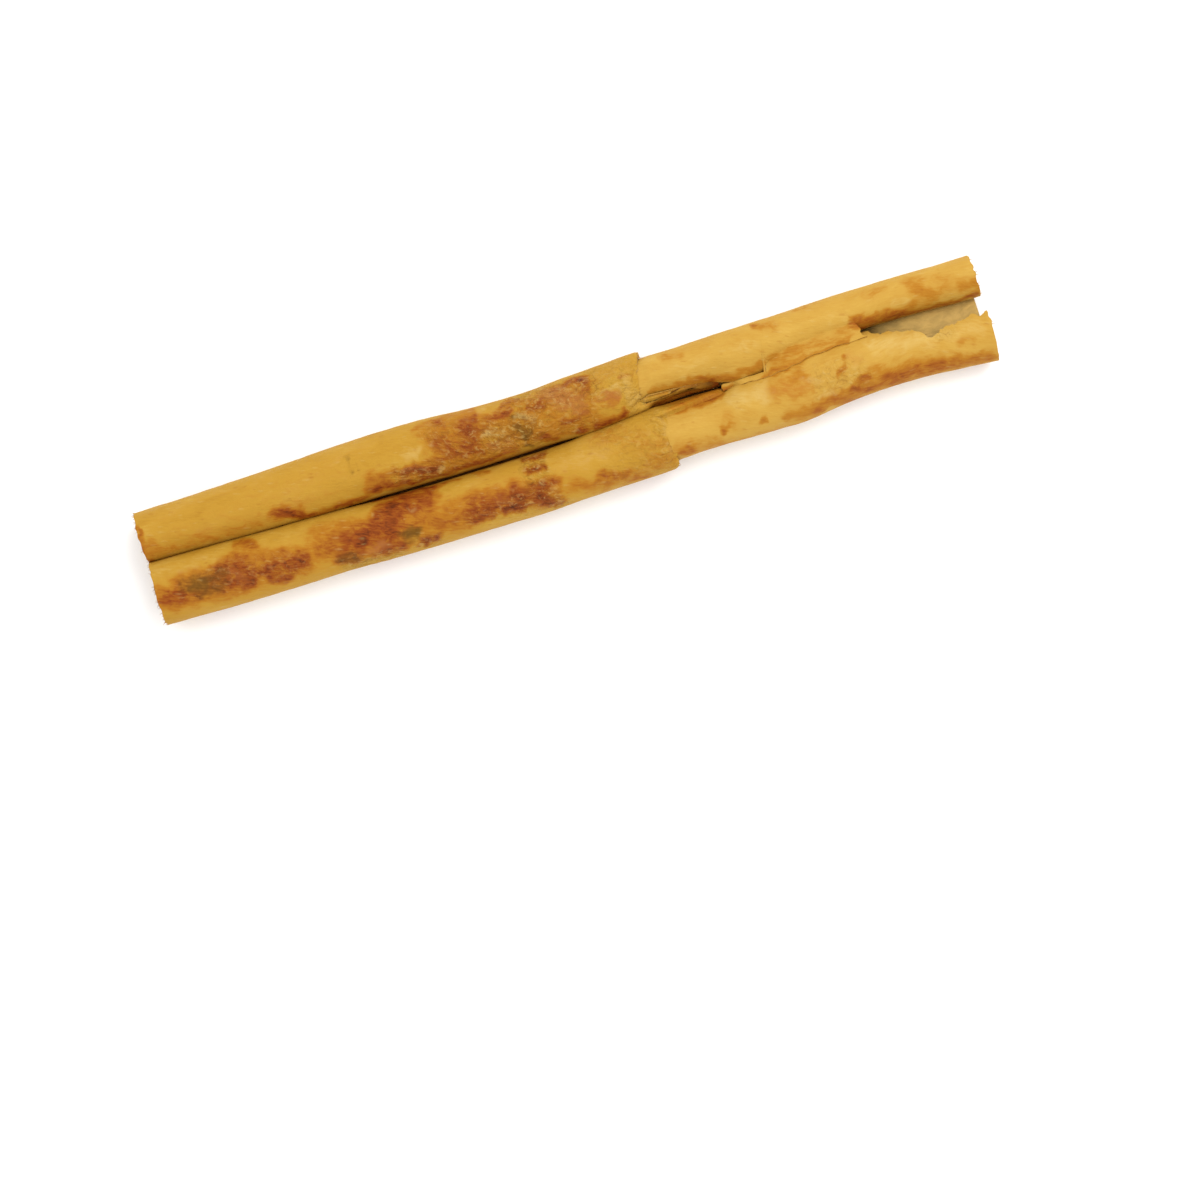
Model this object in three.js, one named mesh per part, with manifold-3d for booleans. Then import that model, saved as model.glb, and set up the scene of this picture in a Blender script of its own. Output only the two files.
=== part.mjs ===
// A cut length of true cinnamon, lying seam side up. A long thin bark, the core,
// runs from end to end, and a wider bark, the sleeve, is rolled round its left part.
// Each bark is one sheet with both long edges curled up and in, so it shows a far
// roll and a near roll with a seam between them. Past the sleeve an outer ply of the
// core's far roll splits off as a flap that crosses the seam on to the near roll.
// Millimetres, +X along the stick, +Y towards the far roll, +Z up, resting on z = 0.
import * as THREE from "three";
import { mergeVertices } from "three/addons/utils/BufferGeometryUtils.js";
import Module from "manifold-3d";

const library = await Module();
library.setup();
const { Manifold, Mesh } = library;

// Driving dimensions
const stickLength = 127;
const fitGap = 0.4; // air between one bark and the next
const restDepth = 0.1; // how far the undersides are worn flat
const sleeveBark = { thickness: 0.75, height: 8.5, curl: 284, tighten: 0.1, arch: 0.7 };
const coreBark = { thickness: 0.6, height: 6.6, curl: 470, tighten: 0.31, webCut: 0.7 };
const roundness = 0.4; // how much a roll's height follows its width

const leftEnd = -stickLength / 2;
const rightEnd = stickLength / 2;
const nest = sleeveBark.thickness + fitGap; // from the sleeve's outside to the core's
const degree = Math.PI / 180;

// The sleeve's outline from above: its far side, its seam, the seam's gap and its near side.
const sleeveOutline = [
  { x: leftEnd, far: 8.45, seam: 0.9, gap: 0.35, near: -8.5 },
  { x: -50, far: 8.5, seam: 0.45, gap: 0.35, near: -8.85 },
  { x: -36, far: 8.95, seam: 0.05, gap: 0.35, near: -8.85 },
  { x: -22, far: 9.1, seam: -0.25, gap: 0.35, near: -9.2 },
  { x: -8, far: 8.3, seam: -0.35, gap: 0.35, near: -9.3 },
  { x: 4, far: 8.75, seam: -0.15, gap: 0.35, near: -9.0 },
  { x: 13, far: 9.15, seam: 0.5, gap: 0.45, near: -8.85 },
  { x: 19, far: 9.15, seam: 0.7, gap: 0.8, near: -8.5 },
  { x: 25, far: 9.15, seam: 0.5, gap: 0.5, near: -8.5 },
];
// Its right end is torn: how far it reaches, and the tear's depth. Its two curled edges
// run on past the tear as tongues in the seam, from this turn, narrowing to the tip.
const sleeveMouth = { far: 12.6, near: 14.2, tear: 0.25 };
const sleeveTongue = { root: 14, tip: 23.2, start: 232, taper: 0.5 };

// The bare core's outline from above, each roll's outer side and its seam side, then the
// height of its underside.
const coreOutline = [
  { x: 14, far: 8.05, farSeam: 2.25, nearSeam: -1.0, near: -7.7, base: nest },
  { x: 19, far: 8.05, farSeam: 2.3, nearSeam: -1.05, near: -7.55, base: 0.98 },
  { x: 23, far: 8.15, farSeam: 1.95, nearSeam: -0.85, near: -7.6, base: 0.9 },
  { x: 26, far: 8.2, farSeam: 1.2, nearSeam: 0.1, near: -7.7, base: 0.82 },
  { x: 30, far: 8.2, farSeam: 1.2, nearSeam: 0.8, near: -7.8, base: 0.72 },
  { x: 34, far: 8.25, farSeam: 1.75, nearSeam: 1.4, near: -7.8, base: 0.6 },
  { x: 40, far: 8.4, farSeam: 2.3, nearSeam: 1.95, near: -7.1, base: 0.42 },
  { x: 46, far: 8.45, farSeam: 2.45, nearSeam: 2.05, near: -6.75, base: 0.26 },
  { x: 53, far: 8.4, farSeam: 2.4, nearSeam: 1.3, near: -6.85, base: 0.1 },
  { x: 59, far: 8.25, farSeam: 2.15, nearSeam: 0.9, near: -7.35, base: 0 },
  { x: rightEnd, far: 8.3, farSeam: 2.05, nearSeam: 0.8, near: -7.75, base: 0 },
];

// The web between the core's rolls: how far its ridge arches up, and the ridge's share of
// the way from the near roll to the far one. It rises where the near roll is torn open.
const coreWeb = [
  { x: 40, arch: 0.7, ridge: 0.5 },
  { x: 45, arch: 0.8, ridge: 0.48 },
  { x: 49, arch: 2.0, ridge: 0.3 },
  { x: 53, arch: 2.8, ridge: 0.2 },
  { x: rightEnd, arch: 2.7, ridge: 0.22 },
];

// Towards the right end the near roll's edge is torn back: its last angle in degrees.
const tornEdge = [
  { x: 46.5, turn: 232 },
  { x: 50, turn: 228 },
  { x: 52.5, turn: 217 },
  { x: 55, turn: 193 },
  { x: 57, turn: 210 },
  { x: 59.5, turn: 220 },
  { x: rightEnd, turn: 221 },
];

// The flap: the turn at which it leaves the far roll, and where its lower edge lies over
// the near roll, seen from above.
const flapPath = [
  { x: 24.2, leave: 240, y: -0.05 },
  { x: 30.3, leave: 228, y: -0.05 },
  { x: 34, leave: 208, y: 0.25 },
  { x: 37, leave: 206, y: 0.85 },
  { x: 45.6, leave: 206, y: 1.25 },
];
// It starts inside the far roll's sheet, flush being its middle's height over the roll's.
// Left of the crack's end only a strip of it goes on, from this share of its width outwards.
const flapShape = { thickness: 0.45, flush: 0.1, start: 158, crackEnd: 30.3, strip: 0.74, slant: 2.4 };

// A value read off a list of stations by a smooth curve through them.
function along(stations, x, key) {
  const last = stations.length - 1;
  if (x <= stations[0].x) return stations[0][key];
  if (x >= stations[last].x) return stations[last][key];
  const i = stations.findIndex((s) => s.x > x) - 1;
  const [a, b] = [stations[i], stations[i + 1]];
  const [before, after] = [stations[Math.max(i - 1, 0)], stations[Math.min(i + 2, last)]];
  const span = b.x - a.x;
  const slopeA = ((b[key] - before[key]) / (b.x - before.x)) * span;
  const slopeB = ((after[key] - a[key]) / (after.x - a.x)) * span;
  const t = (x - a.x) / span;
  const rest = 1 - t;
  return (
    a[key] * (1 + 2 * t) * rest * rest +
    slopeA * t * rest * rest +
    b[key] * (3 - 2 * t) * t * t -
    slopeB * rest * t * t
  );
}

function smooth(low, high, value) {
  return THREE.MathUtils.smoothstep(value, low, high);
}

// A roll from its two sides as seen from above: its centre line and half sizes.
function roll(outer, seamSide, height, base, bark) {
  const { thickness, tighten } = bark;
  const drawnIn = tighten * (Math.PI / 2); // by how much it has tightened at the seam
  const halfWide = (Math.abs(outer - seamSide) - thickness + drawnIn) / 2;
  const side = Math.sign(outer - seamSide);
  const halfHigh = (height - thickness) / 2;
  return {
    side,
    halfWide,
    halfHigh,
    y: outer - side * (halfWide + thickness / 2),
    z: base + thickness / 2 + halfHigh,
  };
}

function roundedHeight(nominal, width) {
  return nominal * (1 - roundness) + width * roundness;
}

function sleeveSection(x) {
  const keys = ["far", "seam", "gap", "near"];
  const [far, seam, gap, near] = keys.map((key) => along(sleeveOutline, x, key));
  const [farSeam, nearSeam] = [seam + gap / 2, seam - gap / 2];
  const base = -restDepth;
  const high = sleeveBark.height;
  return {
    arch: sleeveBark.arch,
    ridge: 0.5,
    far: roll(far, farSeam, roundedHeight(high, far - farSeam), base, sleeveBark),
    near: roll(near, nearSeam, roundedHeight(high, nearSeam - near), base, sleeveBark),
  };
}

// Inside the sleeve the core's stations follow the sleeve's; past its mouth they are its own.
const coreStations = [
  ...sleeveOutline
    .filter((s) => s.x < coreOutline[0].x)
    .map((s) => ({
      x: s.x,
      far: s.far - nest,
      farSeam: s.seam + s.gap / 2 + nest,
      nearSeam: s.seam - s.gap / 2 - nest,
      near: s.near + nest,
      base: nest,
      farHigh: roundedHeight(sleeveBark.height, s.far - s.seam - s.gap / 2) - 2 * nest,
      nearHigh: roundedHeight(sleeveBark.height, s.seam - s.gap / 2 - s.near) - 2 * nest,
    })),
  ...coreOutline.map((s) => ({
    ...s,
    farHigh: roundedHeight(coreBark.height, s.far - s.farSeam),
    nearHigh: roundedHeight(coreBark.height, s.nearSeam - s.near),
  })),
];

function coreSection(x) {
  const at = (key) => along(coreStations, x, key);
  const base = at("base") - restDepth;
  return {
    arch: along(coreWeb, x, "arch"),
    ridge: along(coreWeb, x, "ridge"),
    far: roll(at("far"), at("farSeam"), at("farHigh"), base, coreBark),
    near: roll(at("near"), at("nearSeam"), at("nearHigh"), base, coreBark),
  };
}

// A point on a roll's middle surface. The turn runs from 0 at the bottom, up the outer
// side, over the crown at 180, down the seam side at 270 and on round inside.
function onRoll(section, bark, turn, offset = 0) {
  const angle = turn * degree;
  const drawnIn = Math.max(0, angle - Math.PI) * bark.tighten;
  const wide = section.halfWide - drawnIn + offset;
  const high = section.halfHigh - drawnIn + offset;
  return [
    section.y + section.side * wide * Math.sin(angle),
    section.z - high * Math.cos(angle),
  ];
}

// The turn at which a roll's seam side lies at a given y, found by closing in on it.
function turnOver(section, bark, y, offset) {
  let past = 0;
  for (let pass = 0; pass < 12; pass++) {
    const wide = section.halfWide - past * bark.tighten + offset;
    const reach = (section.side * (section.y - y)) / wide;
    past = Math.asin(Math.min(reach, 0.98));
  }
  return (Math.PI + past) / degree;
}

// The web joins the two rolls along the bottom and arches up to a ridge between them.
// A negative turn counts from -1 at the web's ridge to 0 where the roll begins.
function onBark(section, side, bark, turn) {
  const own = section[side];
  if (turn >= 0) return onRoll(own, bark, turn);
  const ridge = section.near.y + (section.far.y - section.near.y) * section.ridge;
  const lift = section.arch * ((1 - Math.cos(Math.PI * turn)) / 2) ** 1.5;
  return [own.y + (ridge - own.y) * -turn, own.z - own.halfHigh + lift];
}

// A closed solid from a sheet given as rows along X and columns across. middle(i, j)
// gives the sheet's middle surface, and holds(i, j) says which of its cells are bark.
function sheetSolid(rows, columns, thickness, middle, holds) {
  const points = rows.map((_, i) => columns.map((_, j) => middle(i, j)));
  const faces = [1, -1].map((face) =>
    points.map((row) =>
      row.map((p, j) => {
        const [a, b] = [row[Math.max(j - 1, 0)], row[Math.min(j + 1, row.length - 1)]];
        const normal = new THREE.Vector2(a.z - b.z, b.y - a.y).normalize();
        const out = (thickness / 2) * face;
        const z = Math.max(p.z + normal.y * out, 0);
        return new THREE.Vector3(p.x, p.y + normal.x * out, z);
      }),
    ),
  );
  const triangles = [];
  const quad = (a, b, c, d) => triangles.push(a, b, c, a, c, d);
  const [outer, inner] = faces;
  const isBark = (i, j) =>
    i >= 0 && j >= 0 && i < rows.length - 1 && j < columns.length - 1 && holds(i, j);
  for (let i = 0; i < rows.length - 1; i++) {
    for (let j = 0; j < columns.length - 1; j++) {
      if (!isBark(i, j)) continue;
      quad(outer[i][j], outer[i + 1][j], outer[i + 1][j + 1], outer[i][j + 1]);
      quad(inner[i][j], inner[i][j + 1], inner[i + 1][j + 1], inner[i + 1][j]);
      const wall = (p, q, r, s) => quad(outer[p][q], outer[r][s], inner[r][s], inner[p][q]);
      if (!isBark(i - 1, j)) wall(i, j, i, j + 1);
      if (!isBark(i + 1, j)) wall(i + 1, j + 1, i + 1, j);
      if (!isBark(i, j - 1)) wall(i + 1, j, i, j);
      if (!isBark(i, j + 1)) wall(i, j + 1, i + 1, j + 1);
    }
  }
  const geometry = new THREE.BufferGeometry().setFromPoints(triangles);
  geometry.computeVertexNormals();
  return geometry;
}

function spread(from, to, count) {
  return Array.from({ length: count + 1 }, (_, i) => from + ((to - from) * i) / count);
}

// Columns across a whole bark: the far roll's curl, the web, and the near roll's curl.
function acrossBark(curl, steps) {
  const turns = [-1, -0.86, -0.7, -0.52, -0.34, -0.15, ...spread(10, curl, steps)];
  const far = turns.map((turn) => ({ side: "far", turn }));
  const near = turns.slice(1).map((turn) => ({ side: "near", turn }));
  return [...far.reverse(), ...near];
}

// The sleeve: cut square at the left, torn at its mouth, with its two curled edges
// running on as narrow tongues down in the seam.
function sleeveGeometry() {
  const columns = acrossBark(sleeveBark.curl, 16);
  const mouth = ({ side, turn }) => sleeveMouth[side] + sleeveMouth.tear * Math.sin(turn / 9);
  const { root, tip, taper } = sleeveTongue;
  const body = spread(leftEnd, root, 17);
  const rows = [...body, ...spread(root, tip, 4).slice(1)];
  const isTongue = (column) => column.turn >= sleeveTongue.start;
  const middle = (i, j) => {
    const column = columns[j];
    const past = smooth(root, tip, rows[i]);
    const kept = 1 - taper * past;
    const turn = past > 0 ? sleeveBark.curl - (sleeveBark.curl - column.turn) * kept : column.turn;
    const x = i === body.length - 1 && !isTongue(column) ? mouth(column) : rows[i];
    const [y, z] = onBark(sleeveSection(x), column.side, sleeveBark, turn);
    return new THREE.Vector3(x, y, z);
  };
  const holds = (i, j) => i < body.length - 1 || (isTongue(columns[j]) && isTongue(columns[j + 1]));
  return sheetSolid(rows, columns, sleeveBark.thickness, middle, holds);
}

// The core: one bark from end to end, whose near edge is torn back at the right, where
// the web also ends a little short of the rolls.
function coreGeometry() {
  const columns = acrossBark(coreBark.curl, 23);
  const rows = [...spread(leftEnd, 10, 9), 14, 18, 22, 26, 30, 35, 40, 45, 46.5, 48, 50];
  rows.push(...tornEdge.slice(2).map((s) => s.x));
  const edge = (i) => (rows[i] < tornEdge[0].x ? coreBark.curl : along(tornEdge, rows[i], "turn"));
  const turnAt = (i, j) =>
    columns[j].side === "near" ? Math.min(columns[j].turn, edge(i)) : columns[j].turn;
  const middle = (i, j) => {
    const isCutBack = i === rows.length - 1 && columns[j].turn <= 0;
    const x = rows[i] - (isCutBack ? coreBark.webCut : 0);
    const [y, z] = onBark(coreSection(x), columns[j].side, coreBark, turnAt(i, j));
    return new THREE.Vector3(x, y, z);
  };
  const holds = (i, j) =>
    columns[j].side === "far" || columns[j].turn < Math.min(edge(i), edge(i + 1)) - 1;
  return sheetSolid(rows, columns, coreBark.thickness, middle, holds);
}

// The flap: it grows out of the far roll's crown and slopes down over the near roll.
function flapGeometry() {
  const { thickness, flush, start, crackEnd, strip, slant } = flapShape;
  const hugs = 0.48; // the share of its width that follows the far roll
  const columns = [0, 0.12, 0.24, 0.36, hugs, 0.57, 0.66, strip, 0.86, 1];
  const rows = [flapPath[0].x, 26.5, 28.4, crackEnd, 32.2, 34, 37, 41.5, flapPath.at(-1).x];
  const clear = (coreBark.thickness + thickness) / 2 + fitGap;
  const middle = (i, j) => {
    const share = columns[j];
    const x = rows[i] - (i === rows.length - 1 ? slant * (1 - share) : 0);
    const { far, near } = coreSection(x);
    const part = Math.min(share / hugs, 1);
    const turn = start + (along(flapPath, x, "leave") - start) * part;
    const [y, z] = onRoll(far, coreBark, turn, flush);
    if (share <= hugs) return new THREE.Vector3(x, y, z);
    const edgeY = along(flapPath, x, "y");
    const edgeZ = onRoll(near, coreBark, turnOver(near, coreBark, edgeY, clear), clear)[1];
    const [beforeY, beforeZ] = onRoll(far, coreBark, turn - 4, flush);
    const t = (share - hugs) / (1 - hugs);
    const pull = Math.hypot(edgeY - y, edgeZ - z) / Math.hypot(y - beforeY, z - beforeZ);
    const bend = t * (1 - t) * (1 - t) * pull;
    const ease = t * t * (3 - 2 * t);
    return new THREE.Vector3(
      x,
      y + (edgeY - y) * ease + (y - beforeY) * bend,
      z + (edgeZ - z) * ease + (z - beforeZ) * bend,
    );
  };
  const holds = (i, j) => rows[i] >= crackEnd || columns[j] >= strip;
  return sheetSolid(rows, columns, thickness, middle, holds);
}

// Two closed sheets made into one.
function joined(first, second) {
  const [one, two] = [first, second].map((geometry) => {
    geometry.deleteAttribute("normal");
    const { attributes, index } = mergeVertices(geometry, 1e-4);
    const vertProperties = attributes.position.array;
    return new Manifold(new Mesh({ numProp: 3, vertProperties, triVerts: new Uint32Array(index.array) }));
  });
  const { vertProperties, triVerts } = one.add(two).getMesh();
  const geometry = new THREE.BufferGeometry();
  geometry.setAttribute("position", new THREE.BufferAttribute(vertProperties, 3));
  geometry.setIndex(new THREE.BufferAttribute(triVerts, 1));
  geometry.computeVertexNormals();
  return geometry;
}

function barkMesh(name, geometry, colour) {
  const material = new THREE.MeshStandardMaterial({ color: colour, roughness: 0.75, metalness: 0 });
  const mesh = new THREE.Mesh(geometry, material);
  mesh.name = name;
  return mesh;
}

const stick = new THREE.Group();
stick.add(barkMesh("sleeve_bark", sleeveGeometry(), 0xc98f3c));
stick.add(barkMesh("core_bark", joined(coreGeometry(), flapGeometry()), 0xd9a448));

// The origin is the middle of the stick's footprint.
const extent = new THREE.Box3().setFromObject(stick);
const centre = extent.getCenter(new THREE.Vector3());
stick.position.set(-centre.x, -centre.y, -extent.min.z);

export default stick;
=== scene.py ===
# A stick of true cinnamon: two barks, each with both long edges rolled inwards.
# The short wide one, the sleeve, sits round the left part of the long one, the core.
# Sheet sizes are in millimetres here and turned into metres where meshes are made.
import math

import bpy
import numpy as np
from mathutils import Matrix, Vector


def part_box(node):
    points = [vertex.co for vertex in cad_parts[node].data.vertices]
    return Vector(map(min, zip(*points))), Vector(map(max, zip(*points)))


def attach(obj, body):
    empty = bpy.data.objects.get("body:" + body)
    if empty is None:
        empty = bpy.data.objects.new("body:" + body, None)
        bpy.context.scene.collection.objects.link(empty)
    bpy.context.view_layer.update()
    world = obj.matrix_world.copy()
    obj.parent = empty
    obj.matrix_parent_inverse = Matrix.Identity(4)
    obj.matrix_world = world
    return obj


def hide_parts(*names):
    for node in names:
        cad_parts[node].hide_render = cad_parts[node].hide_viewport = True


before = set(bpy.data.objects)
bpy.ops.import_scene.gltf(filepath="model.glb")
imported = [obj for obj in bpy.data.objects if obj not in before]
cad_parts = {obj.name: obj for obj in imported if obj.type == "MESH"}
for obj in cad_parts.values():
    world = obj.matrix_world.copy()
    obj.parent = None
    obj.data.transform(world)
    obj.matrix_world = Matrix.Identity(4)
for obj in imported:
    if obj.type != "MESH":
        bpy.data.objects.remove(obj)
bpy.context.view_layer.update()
mm = 0.001
degree = math.pi / 180
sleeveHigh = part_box("sleeve_bark")[1]
coreLow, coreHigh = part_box("core_bark")
leftEnd = coreLow.x / mm
rightEnd = coreHigh.x / mm
print("frame loaded, stick length", round(rightEnd - leftEnd, 1), "mm")

# camera, lights and floor

view = {
    "height": 0.5,
    "across": 0.1754,  # how much of the floor it takes in
    "x": -0.0025,
    "y": -0.02364,
    "turn": -17.3,
}
light = {
    "sky": 1.27,
    "skyColour": (1.0, 0.99, 0.98),
    "key": 2.1,
    "keySize": 0.4,
    "keyPlace": (0.3, 0.25, 0.5),
    "fill": 0.4,
    "fillPlace": (-0.25, -0.4, 0.55),
    "floor": (0.93, 0.93, 0.93),
}


def addToScene(thing):
    bpy.context.scene.collection.objects.link(thing)
    return thing


def makeCamera():
    lens = bpy.data.cameras.new("camera")
    lens.sensor_width = 36
    lens.lens = 36 * view["height"] / view["across"]
    lens.clip_start = 0.01
    camera = addToScene(bpy.data.objects.new("camera", lens))
    camera.location = (view["x"], view["y"], view["height"])
    camera.rotation_euler = (0, 0, view["turn"] * degree)
    bpy.context.scene.camera = camera


def makeLight(name, power, size, place):
    lamp = bpy.data.lights.new(name, "AREA")
    lamp.energy = power
    lamp.size = size
    lampObject = addToScene(bpy.data.objects.new(name, lamp))
    lampObject.location = place
    x, y, z = place
    lampObject.rotation_euler = (math.atan2(math.hypot(x, y), z), 0, math.atan2(-y, -x) - math.pi / 2)


def makeStudio():
    world = bpy.data.worlds.new("studio")
    world.use_nodes = True
    sky = world.node_tree.nodes["Background"]
    sky.inputs["Color"].default_value = (*light["skyColour"], 1)
    sky.inputs["Strength"].default_value = light["sky"]
    bpy.context.scene.world = world
    makeLight("key", light["key"], light["keySize"], light["keyPlace"])
    makeLight("fill", light["fill"], light["keySize"], light["fillPlace"])
    half = 1.5
    mesh = bpy.data.meshes.new("floor")
    corners = [(-half, -half, 0), (half, -half, 0), (half, half, 0), (-half, half, 0)]
    mesh.from_pydata(corners, [], [(0, 1, 2, 3)])
    finish = bpy.data.materials.new("floorPaint")
    finish.use_nodes = True
    shader = finish.node_tree.nodes["Principled BSDF"].inputs
    shader["Base Color"].default_value = (*light["floor"], 1)
    shader["Roughness"].default_value = 0.9
    shader["Specular IOR Level"].default_value = 0.1
    mesh.materials.append(finish)
    addToScene(bpy.data.objects.new("floor", mesh))
    bpy.context.scene.view_settings.view_transform = "Standard"
    bpy.context.scene.view_settings.look = "None"


makeCamera()
makeStudio()
print("camera and studio made")

# node helpers


def feed(tree, socket, value):
    if isinstance(value, bpy.types.NodeSocket):
        tree.links.new(value, socket)
    elif value is not None:
        socket.default_value = value


def put(tree, kind, sockets=None, **settings):
    node = tree.nodes.new(kind)
    place = len(tree.nodes)
    node.location = (190 * (place % 14), -260 * (place // 14))
    for key, value in settings.items():
        setattr(node, key, value)
    for key, value in (sockets or {}).items():
        feed(tree, node.inputs[key], value)
    return node


def calc(tree, operation, *values):
    node = put(tree, "ShaderNodeMath", operation=operation)
    for socket, value in zip(node.inputs, values):
        feed(tree, socket, value)
    return node.outputs[0]


def times(tree, first, second):
    return calc(tree, "MULTIPLY", first, second)


def timesPlus(tree, first, second, more):
    return calc(tree, "MULTIPLY_ADD", first, second, more)


def minus(tree, first, second):
    return calc(tree, "SUBTRACT", first, second)


def divide(tree, first, second):
    return calc(tree, "DIVIDE", first, second)


def newTree(name, kind, inputs, output):
    # each input has its first value, or the kind of its socket where it has none
    tree = bpy.data.node_groups.new(name, kind)
    for label, value in inputs.items():
        socketKind = {float: "Float", int: "Int"}.get(type(value), value)
        socket = tree.interface.new_socket(label, in_out="INPUT", socket_type=f"NodeSocket{socketKind}")
        if socketKind is not value:
            socket.default_value = value
    socketKind = "Float" if output == "Value" else output
    tree.interface.new_socket(output, in_out="OUTPUT", socket_type=f"NodeSocket{socketKind}")
    given = put(tree, "NodeGroupInput").outputs
    wanted = put(tree, "NodeGroupOutput").inputs
    return tree, given, wanted[output]


def combine(tree, x, y, z):
    return put(tree, "ShaderNodeCombineXYZ", {"X": x, "Y": y, "Z": z}).outputs[0]


def split(tree, vector):
    return put(tree, "ShaderNodeSeparateXYZ", {"Vector": vector}).outputs


def scaled(tree, vector, amount):
    node = put(tree, "ShaderNodeVectorMath", {0: vector, "Scale": amount}, operation="SCALE")
    return node.outputs[0]


def mapRange(tree, value, low, high, outLow=0.0, outHigh=1.0):
    sockets = {"Value": value, "From Min": low, "From Max": high, "To Min": outLow, "To Max": outHigh}
    return put(tree, "ShaderNodeMapRange", sockets, interpolation_type="SMOOTHSTEP").outputs[0]


def useGroup(tree, group, **values):
    node = put(tree, "ShaderNodeGroup", node_tree=group)
    for key, value in values.items():
        feed(tree, node.inputs[key.capitalize()], value)
    return node.outputs[0]


def grainOf(tree, place, length, width, slant, warp, seed):
    stretch = {"length": length, "width": width, "slant": slant}
    return useGroup(tree, grainGroup, place=place, warp=warp, seed=seed, **stretch)


def paint(code):
    # a screen colour such as "d9a24b" as the colour that a shader takes
    parts = [int(code[i : i + 2], 16) / 255 for i in (0, 2, 4)]
    return *(p / 12.92 if p <= 0.04045 else ((p + 0.055) / 1.055) ** 2.4 for p in parts), 1


def mixColour(tree, amount, under, over):
    node = put(tree, "ShaderNodeMix", data_type="RGBA", clamp_factor=True)
    for place, value in ((0, amount), (6, under), (7, over)):
        feed(tree, node.inputs[place], paint(value) if isinstance(value, str) else value)
    return node.outputs[2]


def blend(tree, value, low, high, under, over, most=1.0):
    # from one colour to the next while a value goes from low to high
    return mixColour(tree, mapRange(tree, value, low, high, 0.0, most), under, over)


def readAttribute(tree, name, kind="FLOAT"):
    return put(tree, "GeometryNodeInputNamedAttribute", {"Name": name}, data_type=kind).outputs[0]


def onward(tree, kind, geometry, sockets=None, **settings):
    # a node that takes geometry in first and gives it back first
    node = put(tree, "GeometryNode" + kind, sockets, **settings)
    feed(tree, node.inputs[0], geometry)
    return node.outputs[0]


def positionOf(tree):
    return put(tree, "GeometryNodeInputPosition").outputs[0]


def storeAttribute(tree, geometry, name, value, kind="FLOAT", domain="POINT"):
    sockets = {"Geometry": geometry, "Name": name, "Value": value}
    node = put(tree, "GeometryNodeStoreNamedAttribute", sockets, data_type=kind, domain=domain)
    return node.outputs["Geometry"]


def chance(tree, low, high, seed):
    # a random number for each thing
    node = put(tree, "FunctionNodeRandomValue", data_type="FLOAT")
    shown = [socket for socket in node.inputs if socket.enabled]
    for socket, value in zip(shown, (low, high)):
        feed(tree, socket, value)
    feed(tree, node.inputs["Seed"], seed)
    return next(socket for socket in node.outputs if socket.enabled)


def runTree(piece, tree, values):
    # puts a tree on a piece, with its inputs set by their sockets' identifiers
    modifier = piece.modifiers.new(tree.name, "NODES")
    modifier.node_group = tree
    for item in tree.interface.items_tree:
        if item.item_type == "SOCKET" and item.in_out == "INPUT" and item.name in values:
            modifier[item.identifier] = values[item.name]


def asPlainMesh(piece, name):
    # the evaluated result as a plain mesh object, with no modifier left
    bpy.context.view_layer.update()
    graph = bpy.context.evaluated_depsgraph_get()
    mesh = bpy.data.meshes.new_from_object(
        piece.evaluated_get(graph), preserve_all_data_layers=True, depsgraph=graph
    )
    mesh.name = name
    bpy.data.objects.remove(piece)
    return addToScene(bpy.data.objects.new(name, mesh))


# shader groups that the bark finishes share; Place is along, across, depth in millimetres


grainInputs = {"Place": "Vector", "Length": 1.4, "Width": 0.4, "Slant": 0.2, "Seed": 0.0}


def alongGrain(tree, given):
    # places drawn out along a slanting grain
    x, y, z = split(tree, given["Place"])
    leaning = minus(tree, y, times(tree, x, given["Slant"]))
    x = divide(tree, x, given["Length"])
    return combine(tree, x, divide(tree, leaning, given["Width"]), calc(tree, "ADD", z, given["Seed"]))


def makeGrainGroup():
    # noise from about -1 to 1
    tree, given, wanted = newTree("barkGrain", "ShaderNodeTree", {**grainInputs, "Warp": 0.3}, "Value")
    where = alongGrain(tree, given)
    sockets = {"Vector": where, "Scale": 1.0, "Detail": 5.0, "Roughness": 0.6, "Distortion": given["Warp"]}
    noise = put(tree, "ShaderNodeTexNoise", sockets)
    feed(tree, wanted, times(tree, minus(tree, noise.outputs[0], 0.5), 3.2))
    return tree


def makeToneGroup():
    # the colour of bark by how deep its stain and painted shade are: 0 clean, 1 darkest
    inputs = {"Level": 0.0, "Clean": "Color", "Amber": "Color", "Red": "Color", "Dark": "Color"}
    tree, given, wanted = newTree("stainAndShadeTones", "ShaderNodeTree", inputs, "Color")
    colour = given["Clean"]
    for name, low, high in (("Amber", 0.04, 0.46), ("Red", 0.36, 0.98), ("Dark", 0.85, 1.35)):
        colour = blend(tree, given["Level"], low, high, colour, given[name])
    feed(tree, wanted, colour)
    return tree


def makeFleckGroup():
    # short separate dashes or specks, with Share saying how many of the places have one
    tree, given, wanted = newTree("barkFlecks", "ShaderNodeTree", {**grainInputs, "Share": 0.2}, "Value")
    where = alongGrain(tree, given)
    shake = put(tree, "ShaderNodeTexNoise", {"Vector": where, "Scale": 2.2, "Detail": 2.0})
    shaken = {0: where, 1: scaled(tree, shake.outputs[1], 0.7)}
    shaken = put(tree, "ShaderNodeVectorMath", shaken, operation="ADD").outputs[0]
    cells = put(tree, "ShaderNodeTexVoronoi", {"Vector": shaken, "Scale": 1.0})
    chosen = split(tree, cells.outputs["Color"])
    keep = calc(tree, "LESS_THAN", chosen[0], given["Share"])
    reach = timesPlus(tree, chosen[1], 0.3, 0.22)
    dot = mapRange(tree, cells.outputs["Distance"], reach, 0.0)
    feed(tree, wanted, times(tree, keep, dot))
    return tree


grainGroup = makeGrainGroup()
toneGroup = makeToneGroup()
fleckGroup = makeFleckGroup()

# finishes


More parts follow.
